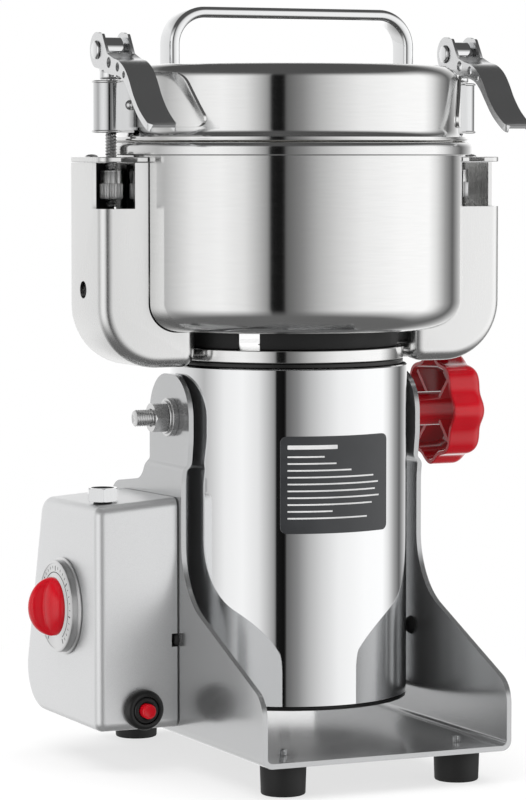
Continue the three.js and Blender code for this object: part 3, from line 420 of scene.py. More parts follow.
def metal(name, color, roughness, vary=0.03, grain=(1, 1, 1), grain_scale=900, relief=0.0015, brushed=None,
          streak=0.03):
    """A bare metal with a grain. The brushing runs round the axis `brushed`; `streak` is how dark it gets."""
    material, tree, shader = new_material(name)
    shader.inputs["Metallic"].default_value = 1.0
    fine = noise(tree, grain_scale, grain, 3.0)
    cloud = noise(tree, 18, seed=5.0)
    shade(tree, shader, between(tree, fine, 0, 1), tinted(color, -streak), color)
    added = tree.nodes.new("ShaderNodeMath")
    added.operation = "ADD"
    tree.links.new(between(tree, fine, -vary, vary), added.inputs[0])
    tree.links.new(between(tree, cloud, roughness - vary / 2, roughness + vary / 2), added.inputs[1])
    tree.links.new(added.outputs[0], shader.inputs["Roughness"])
    bump(tree, shader, fine, relief)
    if brushed:
        shader.inputs["Anisotropic"].default_value = 0.85
        shader.inputs["Anisotropic Rotation"].default_value = 0.25
        tangent = tree.nodes.new("ShaderNodeTangent")
        tangent.direction_type = "RADIAL"
        tangent.axis = brushed
        tree.links.new(tangent.outputs["Tangent"], shader.inputs["Tangent"])
    return material


def paint(name, color, metallic, roughness, coat, flake=0.05):
    """A sprayed metallic paint: fine flakes, a little orange peel, and a clear coat."""
    material, tree, shader = new_material(name)
    shader.inputs["Metallic"].default_value = metallic
    flakes = noise(tree, 5200, detail=1.0)
    peel = noise(tree, 420, seed=3.0)
    shade(tree, shader, between(tree, flakes, 0, 1), tinted(color, -flake), tinted(color, flake))
    tree.links.new(between(tree, flakes, roughness - 0.04, roughness + 0.04), shader.inputs["Roughness"])
    shader.inputs["Coat Weight"].default_value = coat
    shader.inputs["Coat Roughness"].default_value = 0.12
    bump(tree, shader, peel, 0.004)
    return material


def polymer(name, color, roughness, coat=0.0, grain_scale=1500, relief=0.006, vary=0.05, tint=0.12):
    """A moulded plastic or rubber with a fine skin texture."""
    material, tree, shader = new_material(name)
    grain = noise(tree, grain_scale, detail=3.0)
    cloud = noise(tree, 60, seed=2.0)
    shade(tree, shader, between(tree, cloud, 0, 1), tinted(color, -tint), tinted(color, tint))
    tree.links.new(between(tree, cloud, roughness - vary, roughness + vary), shader.inputs["Roughness"])
    shader.inputs["Coat Weight"].default_value = coat
    shader.inputs["Coat Roughness"].default_value = 0.06
    bump(tree, shader, grain, relief)
    return material


STEEL = (0.88, 0.88, 0.875)
SATIN = metal("satin_steel", STEEL, 0.12, 0.012, (0.05, 0.05, 1), 1600, 0.0006, "Z")
SATIN_SHEET = metal("satin_sheet", STEEL, 0.26, 0.02, (1, 1, 0.05), 1500, 0.0006)
POLISHED = metal("polished_steel", (0.9, 0.905, 0.91), 0.035, 0.006, (1, 1, 0.1), 300, 0.0001, streak=0.004)
SHEET_STEEL = metal("banded_steel", (0.74, 0.745, 0.75), 0.1, 0.02, (1, 1, 0.05), 700, 0.0003)
CHROME = metal("bright_chrome", (0.9, 0.905, 0.91), 0.06, 0.01, (1, 1, 1), 300, 0.0001, streak=0.004)
LEVER_CHROME = metal("lever_chrome", (0.84, 0.845, 0.85), 0.21, 0.015, (1, 0.1, 1), 900, 0.0001)
ZINC = metal("zinc_steel", (0.78, 0.78, 0.78), 0.24, 0.05, (1, 1, 1), 700, 0.002)
NUT_STEEL = metal("nut_steel", (0.93, 0.93, 0.93), 0.36, 0.03)
TOOL_STEEL = metal("tool_steel", (0.55, 0.56, 0.57), 0.3, 0.05, (1, 0.1, 1), 900, 0.002)
CORE_STEEL = metal("core_steel", (0.25, 0.26, 0.27), 0.5, 0.08, (0.1, 0.1, 1), 1400, 0.01)
COPPER = metal("copper_winding", (0.62, 0.28, 0.12), 0.35, 0.08, (1, 1, 0.2), 900, 0.02)
DIAL_SILVER = metal("silver_dial", (0.84, 0.84, 0.84), 0.34, 0.03, (1, 1, 1), 1800, 0.001, "X")
FRAME_PAINT = paint("frame_paint", (0.56, 0.565, 0.57), 0.85, 0.2, 0.5)
BOX_PAINT = paint("box_paint", (0.86, 0.865, 0.87), 0.85, 0.38, 0.12, 0.06)
RUBBER = polymer("black_rubber", (0.012, 0.012, 0.012), 0.62, 0.0, 1400, 0.02)
BLACK_PLASTIC = polymer("black_plastic", (0.008, 0.008, 0.008), 0.34, 0.1, 2200, 0.006)
RED_PLASTIC = polymer("red_plastic", (0.56, 0.003, 0.012), 0.14, 0.12, 260, 0.002, 0.03, 0.06)
PLATE_GREY = polymer("dark_plate", (0.035, 0.037, 0.04), 0.38, 0.1, 2600, 0.002)
PALE_INK = polymer("pale_ink", (0.75, 0.75, 0.75), 0.5)
DARK_INK = polymer("dark_ink", (0.02, 0.02, 0.022), 0.5)
SEAL = polymer("pale_seal", (0.72, 0.7, 0.64), 0.5, 0.0, 1200, 0.01)

# ---- base ----

FOOT_R = 11.2
FEET = [f"foot_{end}_{side}" for end in ("front", "back") for side in ("left", "right")]


def floor_place(node):
    """Where a node stands on the floor."""
    low, high = span(node)
    return Vector(((low.x + high.x) / 2, (low.y + high.y) / 2, 0))


def upright_side():
    """The side view of an upright with its share of the base, as (Y, Z, corner radius)."""
    front, back, top, waist = BASE_LOW.y, BASE_HIGH.y, BASE_HIGH.z, -17.5
    return [
        (front, 0),
        (back, 0),
        (back, 58, 28),
        (70, 135, 14),
        (28, 140, 12),
        (28, top, 21),
        (-21, top, 21),
        (-21, 162, 30),
        (waist, 140, 30),
        (waist, 87.5, 37),
        (front, 47.4, 14),
    ]


def bent_section():
    """The front view of the bent sheet: a U whose tops are joggled inwards, as (X, Z, corner radius)."""
    bend = 5
    top = BASE_HIGH.z + 10
    inner = FRAME_X - SHEET
    low, high = JOGGLE_Z, JOGGLE_Z + JOGGLE
    right = [
        (FRAME_X, BASE_LOW.z, bend),
        (FRAME_X, low, 5),
        (FRAME_X - JOGGLE, high, 2.5),
        (FRAME_X - JOGGLE, top),
        (inner - JOGGLE, top),
        (inner - JOGGLE, high, 5),
        (inner, low, 2.5),
        (inner, BASE_TOP, bend - SHEET),
    ]
    return right + [(-x, *rest) for x, *rest in right[::-1]]


def make_frame():
    sheet = slab(bent_section(), BASE_LOW.y, BASE_HIGH.y, "Y")
    share(sheet, slab(upright_side(), -FRAME_X - 5, FRAME_X + 5, "X", steps=20))
    holes = [
        rod(PIVOT_R + 0.6, -FAR, FAR, "X", (0, 0, PIVOT_Z)),
        rod(STUD_R + 0.4, -FAR, FAR, "X", (0, BUMPER_Y, BUMPER_Z)),
    ]
    for name in FEET:
        holes.append(rod(STUD_R + 0.4, 0, BASE_TOP + SHEET, "Z", floor_place(name)))
    cut(sheet, *holes)
    soften(sheet, 0.55, 3)
    placed(sheet, "frame_sheet", "base", FRAME_PAINT, ["base_frame"])


def threaded(radius, depth, pitch, low, high, axis="Z", at=(0, 0, 0), sides=32):
    """A screw thread: a helical ridge round a core, with plain ends."""
    per_pitch = 8
    count = max(2, round((high - low) / pitch * per_pitch))
    rings = []
    for k in range(count + 1):
        h = low + (high - low) * k / count
        ring = []
        for i in range(sides):
            phase = ((h - low) / pitch - i / sides) % 1
            r = radius - depth * abs(2 * phase - 1)
            if k in (0, count):
                r = radius - depth
            a = 2 * math.pi * i / sides
            ring.append((r * math.cos(a), r * math.sin(a), h))
        rings.append(ring)
    return loft([[turned(p, axis) + Vector(at) for p in ring] for ring in rings])


def make_feet():
    top = BASE_LOW.z - 0.3
    rubber = [
        (0, 0), (FOOT_R - 1.6, 0), (FOOT_R - 0.9, 0.3), (FOOT_R - 0.6, 0.9),
        (FOOT_R - 0.15, top - 1), (FOOT_R - 0.4, top - 0.3), (FOOT_R - 1, top), (0, top),
    ]
    for name in FEET:
        at = floor_place(name)
        placed(lathe(rubber, 72, "Z", at), name + "_pad", "base", RUBBER, [name], 50)
        stud = threaded(STUD_R, 0.3, 0.7, top, BASE_TOP + 3, "Z", at, 20)
        placed(stud, name + "_stud", "base", CHROME)


def make_bumpers():
    inside = FRAME_X - SHEET
    profile = [
        (0, inside - 2.5), (2.4, inside - 2.4), (3.8, inside - 1.7), (4.6, inside - 0.4), (2, inside - 0.3),
        (2, FRAME_X + 0.3), (3.4, FRAME_X + 0.3), (3.2, FRAME_X + 1.2), (2.2, FRAME_X + 2),
        (0, FRAME_X + 2.2),
    ]
    for name, side in (("bumper_right", 1), ("bumper_left", -1)):
        made = lathe([(r, side * h) for r, h in profile], 40, "X", (0, BUMPER_Y, BUMPER_Z))
        placed(made, name + "_rubber", "base", RUBBER, [name], 45)


def box_side(inset):
    """The side view of the switch box moved in by `inset`, as (Y, Z, corner radius)."""
    return [
        (BOX_FRONT + inset, BOX_LOW.z + inset, 5 - inset),
        (BOX_HIGH.y - 1.6 * inset, BOX_LOW.z + inset, 21 - inset),
        (62 - inset, BOX_TOP - 1.5 - inset, 9 - inset),
        (BOX_FRONT + inset, BOX_TOP - inset, 5 - inset),
    ]


def climbing(obj):
    """The upper half of the box climbs towards the upright."""
    for vertex in obj.data.vertices:
        if vertex.co.z > DIAL_Z:
            vertex.co.z += BOX_RISE * (vertex.co.x - BOX_LOW.x)
    return obj


def make_switch_box():
    out_x, in_x = BOX_LOW.x, BOX_HIGH.x
    shell = climbing(slab(box_side(0), out_x, in_x + 12, "X", 4.6, 12, 8))
    inside = climbing(slab(box_side(BOX_WALL), out_x + BOX_WALL, in_x + 24, "X", 2.6, 12, 6))
    cut(
        shell,
        inside,
        block(in_x, FAR, -FAR, FAR, -FAR, FAR),
        rod(DIAL_BORE_R, out_x - 5, out_x + 5, "X", (0, DIAL_Y, DIAL_Z)),
        rod(BREAKER_BORE_R, BOX_FRONT - 5, BOX_FRONT + 5, "Y", (BREAKER_X, 0, BREAKER_Z)),
        rod(4.8, BOX_TOP - 6, BOX_TOP + 6, "Z", (GLAND_X, GLAND_Y, 0)),
        rod(3.8, in_x - 3, in_x + 4, "X", (0, BUMPER_Y, BUMPER_Z)),
    )
    placed(shell, "box_shell", "base", BOX_PAINT, ["switch_box"])


DIAL_MARKS = 31
DIAL_TRAVEL = 300


def dial_mark(angle, inner, outer, width, face):
    """A radial stroke on the dial's face, the angle in degrees from straight up."""
    stroke = block(face - 0.05, face + 0.2, -width / 2, width / 2, inner, outer)
    return moved(stroke, (0, DIAL_Y, DIAL_Z), -angle, "X")


def make_dial():
    back, front = DIAL_HIGH.x, DIAL_LOW.x
    face = front + 0.15
    wall = DIAL_R - 1.2
    profile = [
        (DIAL_BORE_R, back), (DIAL_R - 0.2, back), (DIAL_R, back - 0.2), (DIAL_R, back - 0.7),
        (DIAL_R - 0.3, back - 0.95), (wall + 0.2, back - 1.1), (wall, back - 1.3), (wall, front + 0.9),
        (wall - 0.27, front + 0.3), (wall - 0.9, front), (wall - 1.6, front), (wall - 1.8, face),
        (DIAL_BORE_R, face),
    ]
    plate = lathe(profile, 144, "X", (0, DIAL_Y, DIAL_Z))
    placed(plate, "dial_plate", "base", DIAL_SILVER, ["timer_dial"])
    strokes = []
    for i in range(DIAL_MARKS):
        long_one = i % 5 == 0
        angle = DIAL_TRAVEL * (i / (DIAL_MARKS - 1) - 0.5)
        strokes.append(dial_mark(angle, 17.6 if long_one else 18.6, 20, 0.55 if long_one else 0.32, face))
    line = [(16.6, face - 0.05), (17, face - 0.05), (17, face + 0.2), (16.6, face + 0.2)]
    sweep = lathe(line, 120, "X", (0, DIAL_Y, DIAL_Z))
    cut(sweep, block(-FAR, FAR, DIAL_Y - 9, DIAL_Y + 9, -FAR, DIAL_Z))
    join(strokes[0], *strokes[1:], sweep)
    placed(strokes[0], "dial_marks", "base", DARK_INK)


def smooth_max(a, b, softness):
    return softness * math.log(math.exp(a / softness) + math.exp(b / softness))


def make_timer_knob():
    """A dome with a tapered grip across it, as a height field over a disc, and its skirt and stem."""
    low, high = span("timer_knob")
    back = DIAL_LOW.x - 0.3
    tall = back - low.x
    radius, skirt, rise = 14.5, 1.2, 6.4
    sides, rings = 128, 44
    turns = [2 * math.pi * i / sides for i in range(sides)]
    layers = [[(radius - 0.3, back)] * sides, [(radius, back - 0.3)] * sides]
    for k in range(rings):
        share_out = math.sin(math.pi / 2 * (1 - k / rings))
        r = radius * share_out
        dome = skirt + rise * (1 - share_out**2.4) ** 0.55
        layer = []
        for a in turns:
            y, z = r * math.cos(a), r * math.sin(a)
            half_width = 2.9 - 0.9 * z / radius
            crest = skirt + (tall - skirt) * math.sqrt(max(0, 1 - (z / radius) ** 2))
            grip = crest - 0.9 * (y / half_width) ** 2 - 2.4 * max(0, abs(y) - half_width)
            layer.append((r, back - min(tall, smooth_max(dome, grip, 0.45))))
        layers.append(layer)
    centre = Vector((0, DIAL_Y, DIAL_Z))
    loops = []
    for layer in layers:
        around = [(x, r * math.cos(a), r * math.sin(a)) for (r, x), a in zip(layer, turns)]
        loops.append([Vector(point) + centre for point in around])
    knob = loft(loops)
    placed(knob, "timer_grip", "timer_knob", RED_PLASTIC, ["timer_knob"], 60)
    stem = rod(3.5, BOX_LOW.x + 8, back + 0.1, "X", (0, DIAL_Y, DIAL_Z), 32)
    placed(stem, "timer_stem", "timer_knob", BLACK_PLASTIC)


def make_breaker():
    at = (BREAKER_X, 0, BREAKER_Z)
    back = BOX_FRONT - 0.3
    nut = [(BREAKER_BORE_R, back), (9.4, back), (9.8, back - 0.4), (9.8, back - 1.4)]
    nut += arc(7.2, back - 2.8, 2.6, -10, -90, 6) + [(BREAKER_BORE_R, back - 5.4)]
    ring = lathe(nut, 96, "Y", at)
    placed(ring, "breaker_ring", "base", BLACK_PLASTIC, ["breaker_nut"], 45)
    barrel = [
        (4, back + 6), (6.4, back + 6), (6.4, BOX_FRONT - 5.6), (5.9, BOX_FRONT - 6.1),
        (4.6, BOX_FRONT - 6.1), (4.1, BOX_FRONT - 5.7),
    ]
    placed(lathe(barrel, 64, "Y", at), "breaker_barrel", "base", BLACK_PLASTIC, (), 45)
    tip = span("breaker_button")[0].y
    button = [(0, tip)] + [(2.5 + r, tip + 1.1 - h) for r, h in arc(0, 0, 1.1, 90, 0, 6)]
    button += [(3.6, BOX_FRONT + 1), (0, BOX_FRONT + 1)]
    cap = lathe(button, 64, "Y", at)
    placed(cap, "breaker_cap", "breaker_button", RED_PLASTIC, ["breaker_button"], 45)


def make_gland():
    low = BOX_TOP + 1.5
    top = low + 6.6
    hexed = slab(hexagon(14), low, top, "Z")
    chamfer = [(0, low), (7.7, low), (8.1, low + 0.4), (8.1, top - 0.5), (7.5, top), (0, top)]
    share(hexed, lathe(chamfer, 96))
    cut(hexed, rod(5.6, low + 5.8, low + 8))
    moved(hexed, (GLAND_X, GLAND_Y, 0), 12)
    soften(hexed, 0.25)
    placed(hexed, "gland_nut", "base", SHEET_STEEL, ["box_gland"])
    z = low + 5.8
    plug = [
        (0, BOX_TOP - 6), (4.4, BOX_TOP - 6), (4.4, z - 0.05), (5.5, z - 0.05), (5.5, z + 0.3),
        (5.2, z + 0.4), (3.4, z + 0.4), (3.2, z - 0.8), (0, z - 0.8),
    ]
    placed(lathe(plug, 64, "Z", (GLAND_X, GLAND_Y, 0)), "gland_plug", "base", RUBBER, (), 40)


# ---- motor ----


def make_motor():
    wall = 1.4
    low, top = MOTOR_LOW.z, MOTOR_HIGH.z
    tube = [
        (MOTOR_R - wall, low), (MOTOR_R - 0.3, low), (MOTOR_R, low + 0.3),
        (MOTOR_R, top - 0.5), (MOTOR_R - 0.5, top), (MOTOR_R - wall, top),
    ]
    shell = lathe(tube, 256)
    cut(shell, rod(PIVOT_R + 0.6, -FAR, FAR, "X", (0, 0, PIVOT_Z)))
    placed(shell, "motor_tube", "head", POLISHED, ["motor_housing"])


def plate_window(left, right, low, high, radius):
    """A block that stands in front of the motor, rounded at its corners in the front view."""
    shape = [(left, low, radius), (right, low, radius), (right, high, radius), (left, high, radius)]
    return slab(shape, -FAR, 0, "Y")


def plate_skin(inner, outer):
    """A thin skin round the motor at the plate's height."""
    low, high = PLATE_LOW.z - 1, PLATE_HIGH.z + 1
    return lathe([(inner, low), (outer, low), (outer, high), (inner, high)], 360)


def make_rating_plate():
    """A data plate with no text: a dark ground, a heavy rule for its heading and thin ruled lines."""
    low, high = PLATE_LOW, PLATE_HIGH
    face = MOTOR_R + 0.7
    plate = share(plate_skin(MOTOR_R + 0.3, face), plate_window(low.x, high.x, low.z, high.z, 3))
    placed(plate, "plate_ground", "head", PLATE_GREY, ["rating_plate"])
    left, right = low.x + 3, high.x - 3
    rules = [plate_window(left, left + 24, high.z - 6.2, high.z - 4.2, 0.3)]
    step = 3.3
    lengths = [0.34, 0.46, 0.62, 0.88, 0.94, 0.9, 0.95, 0.86, 0.42, 0.8]
    for i, length in enumerate(lengths):
        z = high.z - 10.2 - step * i
        rules.append(plate_window(left, left + (right - left) * length, z, z + 0.75, 0.1))
    ink = share(join(rules[0], *rules[1:]), plate_skin(face - 0.2, face + 0.06))
    placed(ink, "plate_rules", "head", PALE_INK)


def make_bottom_cover():
    """A disc with rounded edges over the CAD cover's underside, with the same slots; the cover is kept."""
    low, high = COVER_LOW.z, COVER_LOW.z + 1.5
    r, bore = MOTOR_R - 0.2, 12
    edge = [(r - 1, low), (r - 0.3, low + 0.2), (r, low + 0.7), (r, high), (r - 4, high)]
    cover = lathe([(bore, low + 0.1)] + edge + [(bore, high)], 200)
    slots = 8
    for i in range(slots):
        cut(cover, moved(block(26, 48, -3, 3, low - 2, high + 2), turn=360 / slots * (i + 0.5)))
    placed(cover, "cover_disc", "head", BLACK_PLASTIC)


def make_pivot():
    at = (0, 0, PIVOT_Z)
    bolt_low, bolt_high = span("pivot_bolt_left")
    face = -(FRAME_X - JOGGLE) - 0.3
    bolt = threaded(PIVOT_R - 0.1, 0.5, PIVOT_PITCH, bolt_low.x, bolt_high.x, "X", at, 40)
    placed(bolt, "pivot_screw", "head", ZINC, ["pivot_bolt_left"], 50)
    out_x, in_x = -74, -67
    nut = slab(hexagon(13.6), out_x, in_x, "X")
    cone = [(0, out_x), (6.9, out_x), (7.9, out_x + 0.7), (7.9, in_x - 0.6), (7.2, in_x), (0, in_x)]
    share(nut, lathe(cone, 96, "X"))
    cut(nut, rod(PIVOT_R + 0.2, -80, -60, "X"))
    moved(soften(nut, 0.2), at)
    placed(nut, "pivot_nut_hex", "head", ZINC, ["pivot_nut_left"])
    washer = [(PIVOT_R + 0.2, -66.9), (7.9, -66.9), (8.2, -66.6), (8.2, -65.9), (9.2, -65.8), (9.4, -65.6),
              (9.4, face + 0.2), (9.2, face), (PIVOT_R + 0.2, face)]
    placed(lathe(washer, 80, "X", at), "pivot_nut_washer", "head", ZINC)
    low, high = span("tilt_washer_right")
    disc = [(PIVOT_R + 0.4, low.x), (9.6, low.x), (10, low.x + 0.4), (10, high.x - 0.6), (9.4, high.x),
            (PIVOT_R + 0.4, high.x)]
    disc = lathe(disc, 80, "X", at)
    placed(disc, "pivot_disc", "head", BLACK_PLASTIC, ["tilt_washer_right"])


# ---- neck, bowl and arms ----


def make_neck():
    for node, slot, material in (
        ("neck_gasket", "black_rubber", BLACK_PLASTIC),
        ("neck_ring", "satin_steel", SATIN),
        ("neck_band", "black_rubber", RUBBER),
    ):
        low, high = span(node)
        r, edge = high.x, 0.5
        profile = [(NECK_BORE_R, low.z), (r - edge, low.z)]
        profile += arc(r - edge, low.z + edge, edge, -90, 0, 4)[1:]
        profile += arc(r - edge, high.z - edge, edge, 0, 90, 4) + [(NECK_BORE_R, high.z)]
        band = lathe(profile, 224)
        if node == "neck_band":
            slot_from, slot_to = NECK_SLOT
            gap = block(slot_from, slot_to, -FAR, FAR, low.z - 1, high.z + 1)
            cut(band, moved(gap, turn=-CAMERA_AZIMUTH))
        placed(band, node + "_turned", "head", material, [node], 50)


def bowl_profile():
    low, rim = BOWL_LOW.z, BOWL_HIGH.z
    centre = (BOWL_R - BOWL_CORNER, low + BOWL_CORNER)
    hub = 13.9
    inner = BOWL_R - BOWL_WALL
    return (
        [(hub, low)]
        + arc(*centre, BOWL_CORNER, -90, 0, 18)
        + [(BOWL_R, COLLAR_Z - 0.2), (BOWL_R + 0.2, COLLAR_Z), (COLLAR_R - 0.5, COLLAR_Z)]
        + arc(COLLAR_R - 0.5, COLLAR_Z + 0.5, 0.5, -90, 0, 4)[1:]
        + arc(COLLAR_R - 3, rim - 3, 3, 0, 90, 10)
        + [(inner + 0.4, rim), (inner, rim - 0.4)]
        + arc(*centre, BOWL_CORNER - BOWL_WALL, 0, -90, 18)
        + [(hub, low + BOWL_WALL)]
    )


def make_bowl():
    placed(lathe(bowl_profile(), 256), "bowl_drawn", "head", SATIN, ["grinding_bowl"], 40)


def arm_side(inset, end_x):
    """The front view of an arm's J, as (X, Z, corner radius)."""
    high = ARM_HIGH.z + 20
    low = ARM_LOW.z
    return [
        (ARM_LOW.x + inset, high),
        (ARM_LOW.x + inset, low + inset, ARM_BEND - inset),
        (end_x, low + inset, ARM_EDGE + 1 - inset),
        (end_x, high),
    ]


def make_arm(name, window_in_x, relief, mirror):
    """A J-shaped channel, closed outside and open towards the bowl, with its window and access hole."""
    end_x = -58.3
    arm = slab(arm_side(0, end_x), -ARM_HALF, ARM_HALF, "Y", ARM_EDGE, 16, 8)
    hollow = slab(arm_side(ARM_WALL, end_x - ARM_WALL), -ARM_HALF + ARM_WALL, ARM_HALF - ARM_WALL, "Y",
                  ARM_EDGE - ARM_WALL, 16, 8)
    gap = 0.5
    centre = (BOWL_R - BOWL_CORNER, BOWL_LOW.z + BOWL_CORNER)
    room = [(0, BOWL_LOW.z - gap)] + arc(*centre, BOWL_CORNER + gap, -90, 0, 16)
    room += [(BOWL_R + gap, FAR), (0, FAR)]
    top = ARM_HIGH.z
    cut(
        arm,
        hollow,
        lathe(room, 256),
        block(-FAR, FAR, -FAR, FAR, top, FAR),
        block(-FAR, window_in_x, -FAR, WINDOW_BACK_Y, WINDOW_Z, FAR),
        rod(relief, -FAR, 1.5 - KNOB_LOW.x, "X", (0, 0, PIVOT_Z), 96),
        rod(ARM_HOLE_R, -FAR, -ROD_X, "X", ARM_HOLE),
    )
    moved(soften(arm, 0.35, 2, 40), mirror_x=mirror)
    placed(arm, name + "_channel", "head", SATIN_SHEET, [name])


def make_arm_painted_shade():
    """A thin black sheet on the inner back wall of the left arm, behind its window: painted shade for the
    shadowed inside of the hollow arm.
    """
    painted_shade = block(ARM_LOW.x + 2.4, -90, 7.2, 8.2, WINDOW_Z - 14, ARM_HIGH.z - 0.5)
    cut(painted_shade, rod(BOWL_R + 1, 0, FAR, sides=192))
    placed(painted_shade, "arm_left_painted_shade", "head", RUBBER)


def make_cap(name, mirror):
    """The plate on an arm's top, with the slot for the clamp rod, and its dome screw."""
    low, high = CAP_LOW.z, ARM_HIGH.z + 0.3 + 2.4
    out_x, in_x = ARM_LOW.x, -70
    shape = [(out_x, -ARM_HALF, ARM_EDGE), (in_x, -ARM_HALF), (in_x, ARM_HALF), (out_x, ARM_HALF, ARM_EDGE)]
    plate = slab(shape, low, high, "Z")
    slot = [(-98, -ARM_HALF - 5), (-89.8, -ARM_HALF - 5), (-89.8, 5, 3.5), (-98, 5, 3.5)]
    cut(plate, slab(slot, low - 1, high + 1, "Z"), rod(BOWL_R + 0.5, 0, FAR, sides=256))
    moved(soften(plate, 0.4, 2, 40), mirror_x=mirror)
    placed(plate, name + "_plate", "head", SATIN_SHEET, [name])
    top = CAP_HIGH.z
    dome = [(0, high - 0.5), (3.2, high - 0.5), (3.2, high + 0.3), (2.8, high + 0.8)]
    dome += [(1.6, top - 0.1), (0, top)]
    screw_x = 103.4 if mirror else -103.4
    placed(lathe(dome, 40, "Z", (screw_x, 3, 0)), name + "_screw", "head", ZINC, (), 45)


# ---- lid and clamps ----


def lid_profile():
    flange = LID_HIGH.x
    low = LID_LOW.z
    lip, wall = 1.2, 1.5
    flare = flange - LID_R
    corner = (LID_R - LID_CORNER, LID_TOP - LID_CORNER)
    skirt = low + 5.6
    sweep = []
    for i in range(9):
        t = i / 8 * math.pi / 2
        sweep.append((LID_R + flare * (1 - math.sin(t)), low + 0.9 + (skirt - low - 0.9) * (1 - math.cos(t))))
    return (
        [(flange - lip, low), (flange - 0.3, low), (flange, low + 0.3)]
        + sweep
        + arc(*corner, LID_CORNER, 0, 90, 14)
        + [(40, LID_TOP + 0.25), (0, LID_HIGH.z), (0, LID_HIGH.z - wall), (40, LID_TOP + 0.25 - wall)]
        + arc(*corner, LID_CORNER - wall, 90, 0, 14)
        + [(LID_R - wall, low + 1.8), (flange - lip, low + 1.8)]
    )


def make_lid():
    placed(lathe(lid_profile(), 256), "lid_drawn", "lid", SATIN, ["lid_shell"], 40)
    low, high = span("lid_gasket")
    inner, outer = 78, high.x
    profile = [(inner, low.z), (outer - 0.4, low.z), (outer, low.z + 0.4), (outer, high.z), (inner, high.z)]
    placed(lathe(profile, 192), "lid_seal", "lid", SEAL, ["lid_gasket"])


def make_handle():
    """A flat bar with rounded edges, bent into a bail."""
    half, top, foot = HANDLE_HIGH.x, HANDLE_HIGH.z, HANDLE_LOW.z
    thick, depth = 5.5, HANDLE_HIGH.y - HANDLE_LOW.y
    bend = 18.7 - thick / 2
    line_x, line_z = half - thick / 2, top - thick / 2
    stations = [((-line_x, foot), (0, 1)), ((-line_x, (foot + line_z - bend) / 2), (0, 1))]
    for side, start in ((-1, 180), (1, 90)):
        for k in range(17):
            a = math.radians(start - 90 * k / 16)
            centre = (side * (line_x - bend), line_z - bend)
            stations.append(((centre[0] + bend * math.cos(a), centre[1] + bend * math.sin(a)),
                             (math.sin(a), -math.cos(a))))
    stations += [((line_x, (foot + line_z - bend) / 2), (0, -1)), ((line_x, foot), (0, -1))]
    t, d = thick / 2, depth / 2
    section = outline([(-t, -d, 2.3), (t, -d, 2.3), (t, d, 2.3), (-t, d, 2.3)], 0, 6)
    rings = []
    for (x, z), (tx, tz) in stations:
        rings.append([(x + p.x * tz, p.y, z - p.x * tx) for p in section])
    placed(loft(rings), "handle_bail", "lid", CHROME, ["lid_handle"], 50)


def make_ear(side_name, turn):
    """A strap wrapped round the clamp rod, the lips at its ends, and the saddle on the lid's wall."""
    at = (-ROD_X, 0, 0)
    low, high = EAR_BOTTOM, EAR_TOP
    strap = rod(EAR_R, low, high, "Z", at, 96)
    join(strap, block(-ROD_X, -LID_R, -EAR_R, EAR_R, low, high))
    inside = EAR_R - 1.6
    hollow = rod(inside, 0, FAR, "Z", at, 64)
    join(hollow, block(-ROD_X, 0, -inside, inside, 0, FAR))
    cut(strap, hollow, rod(LID_R + 0.3, 0, FAR, sides=192))
    soften(strap, 0.3, 2, 40)
    moved(strap, turn=turn)
    name = "ear_" + side_name
    placed(strap, name + "_strap", "lid", SHEET_STEEL, [name])
    for end, z0, z1 in (("low", low - 1.3, low), ("high", high, high + 1.3)):
        r, hole = 9.1, ROD_R + 0.4
        section = [(hole, z0), (r - 0.4, z0), (r, z0 + 0.4), (r, z1 - 0.4), (r - 0.4, z1), (hole, z1)]
        lip = lathe(section, 96, "Z", at)
        lip_plate = block(-ROD_X, -LID_R - 2, -r + 0.2, r - 0.2, z0, z1)
        cut(lip_plate, rod(hole, 0, FAR, "Z", at, 48), rod(LID_R + 1, 0, FAR, sides=192))
        join(lip, lip_plate)
        moved(lip, turn=turn)
        placed(lip, f"{name}_lip_{end}", "lid", ZINC)
    foot, top = EAR_BOTTOM + 1.3, EAR_HIGH.z
    shape = [(-54, foot, 4), (54, foot, 4), (41, top, 10), (-41, top, 10)]
    inner, outer = LID_R + 0.15, LID_R + 1.3
    skin = lathe([(inner, foot - 1), (outer, foot - 1), (outer, top + 1), (inner, top + 1)], 360)
    saddle = share(skin, slab(shape, -FAR, -20, "X", steps=10))
    soften(saddle, 0.35, 2, 40)
    moved(saddle, turn=turn)
    placed(saddle, name + "_saddle", "lid", SATIN)


def make_ear_screw(side_name):
    low, high = span("ear_screw_" + side_name)
    x, z = (low.x + high.x) / 2, (low.z + high.z) / 2
    face, tip = high.y, low.y
    r = (high.x - low.x) / 2
    head = [(0, tip), (0.8, tip + 0.05), (1.6, tip + 0.35), (r - 0.3, tip + 1.0), (r, tip + 1.5)]
    head += [(r, face), (0, face)]
    screw = lathe(head, 48, "Y")
    arm, wide = 1.5, 0.35
    for x_half, z_half in ((arm, wide), (wide, arm)):
        cut(screw, block(-x_half, x_half, tip - 1, tip + 0.9, -z_half, z_half))
    moved(screw, (x, 0, z))
    name = "ear_screw_" + side_name
    placed(screw, name + "_head", "lid", ZINC, [name], 40)


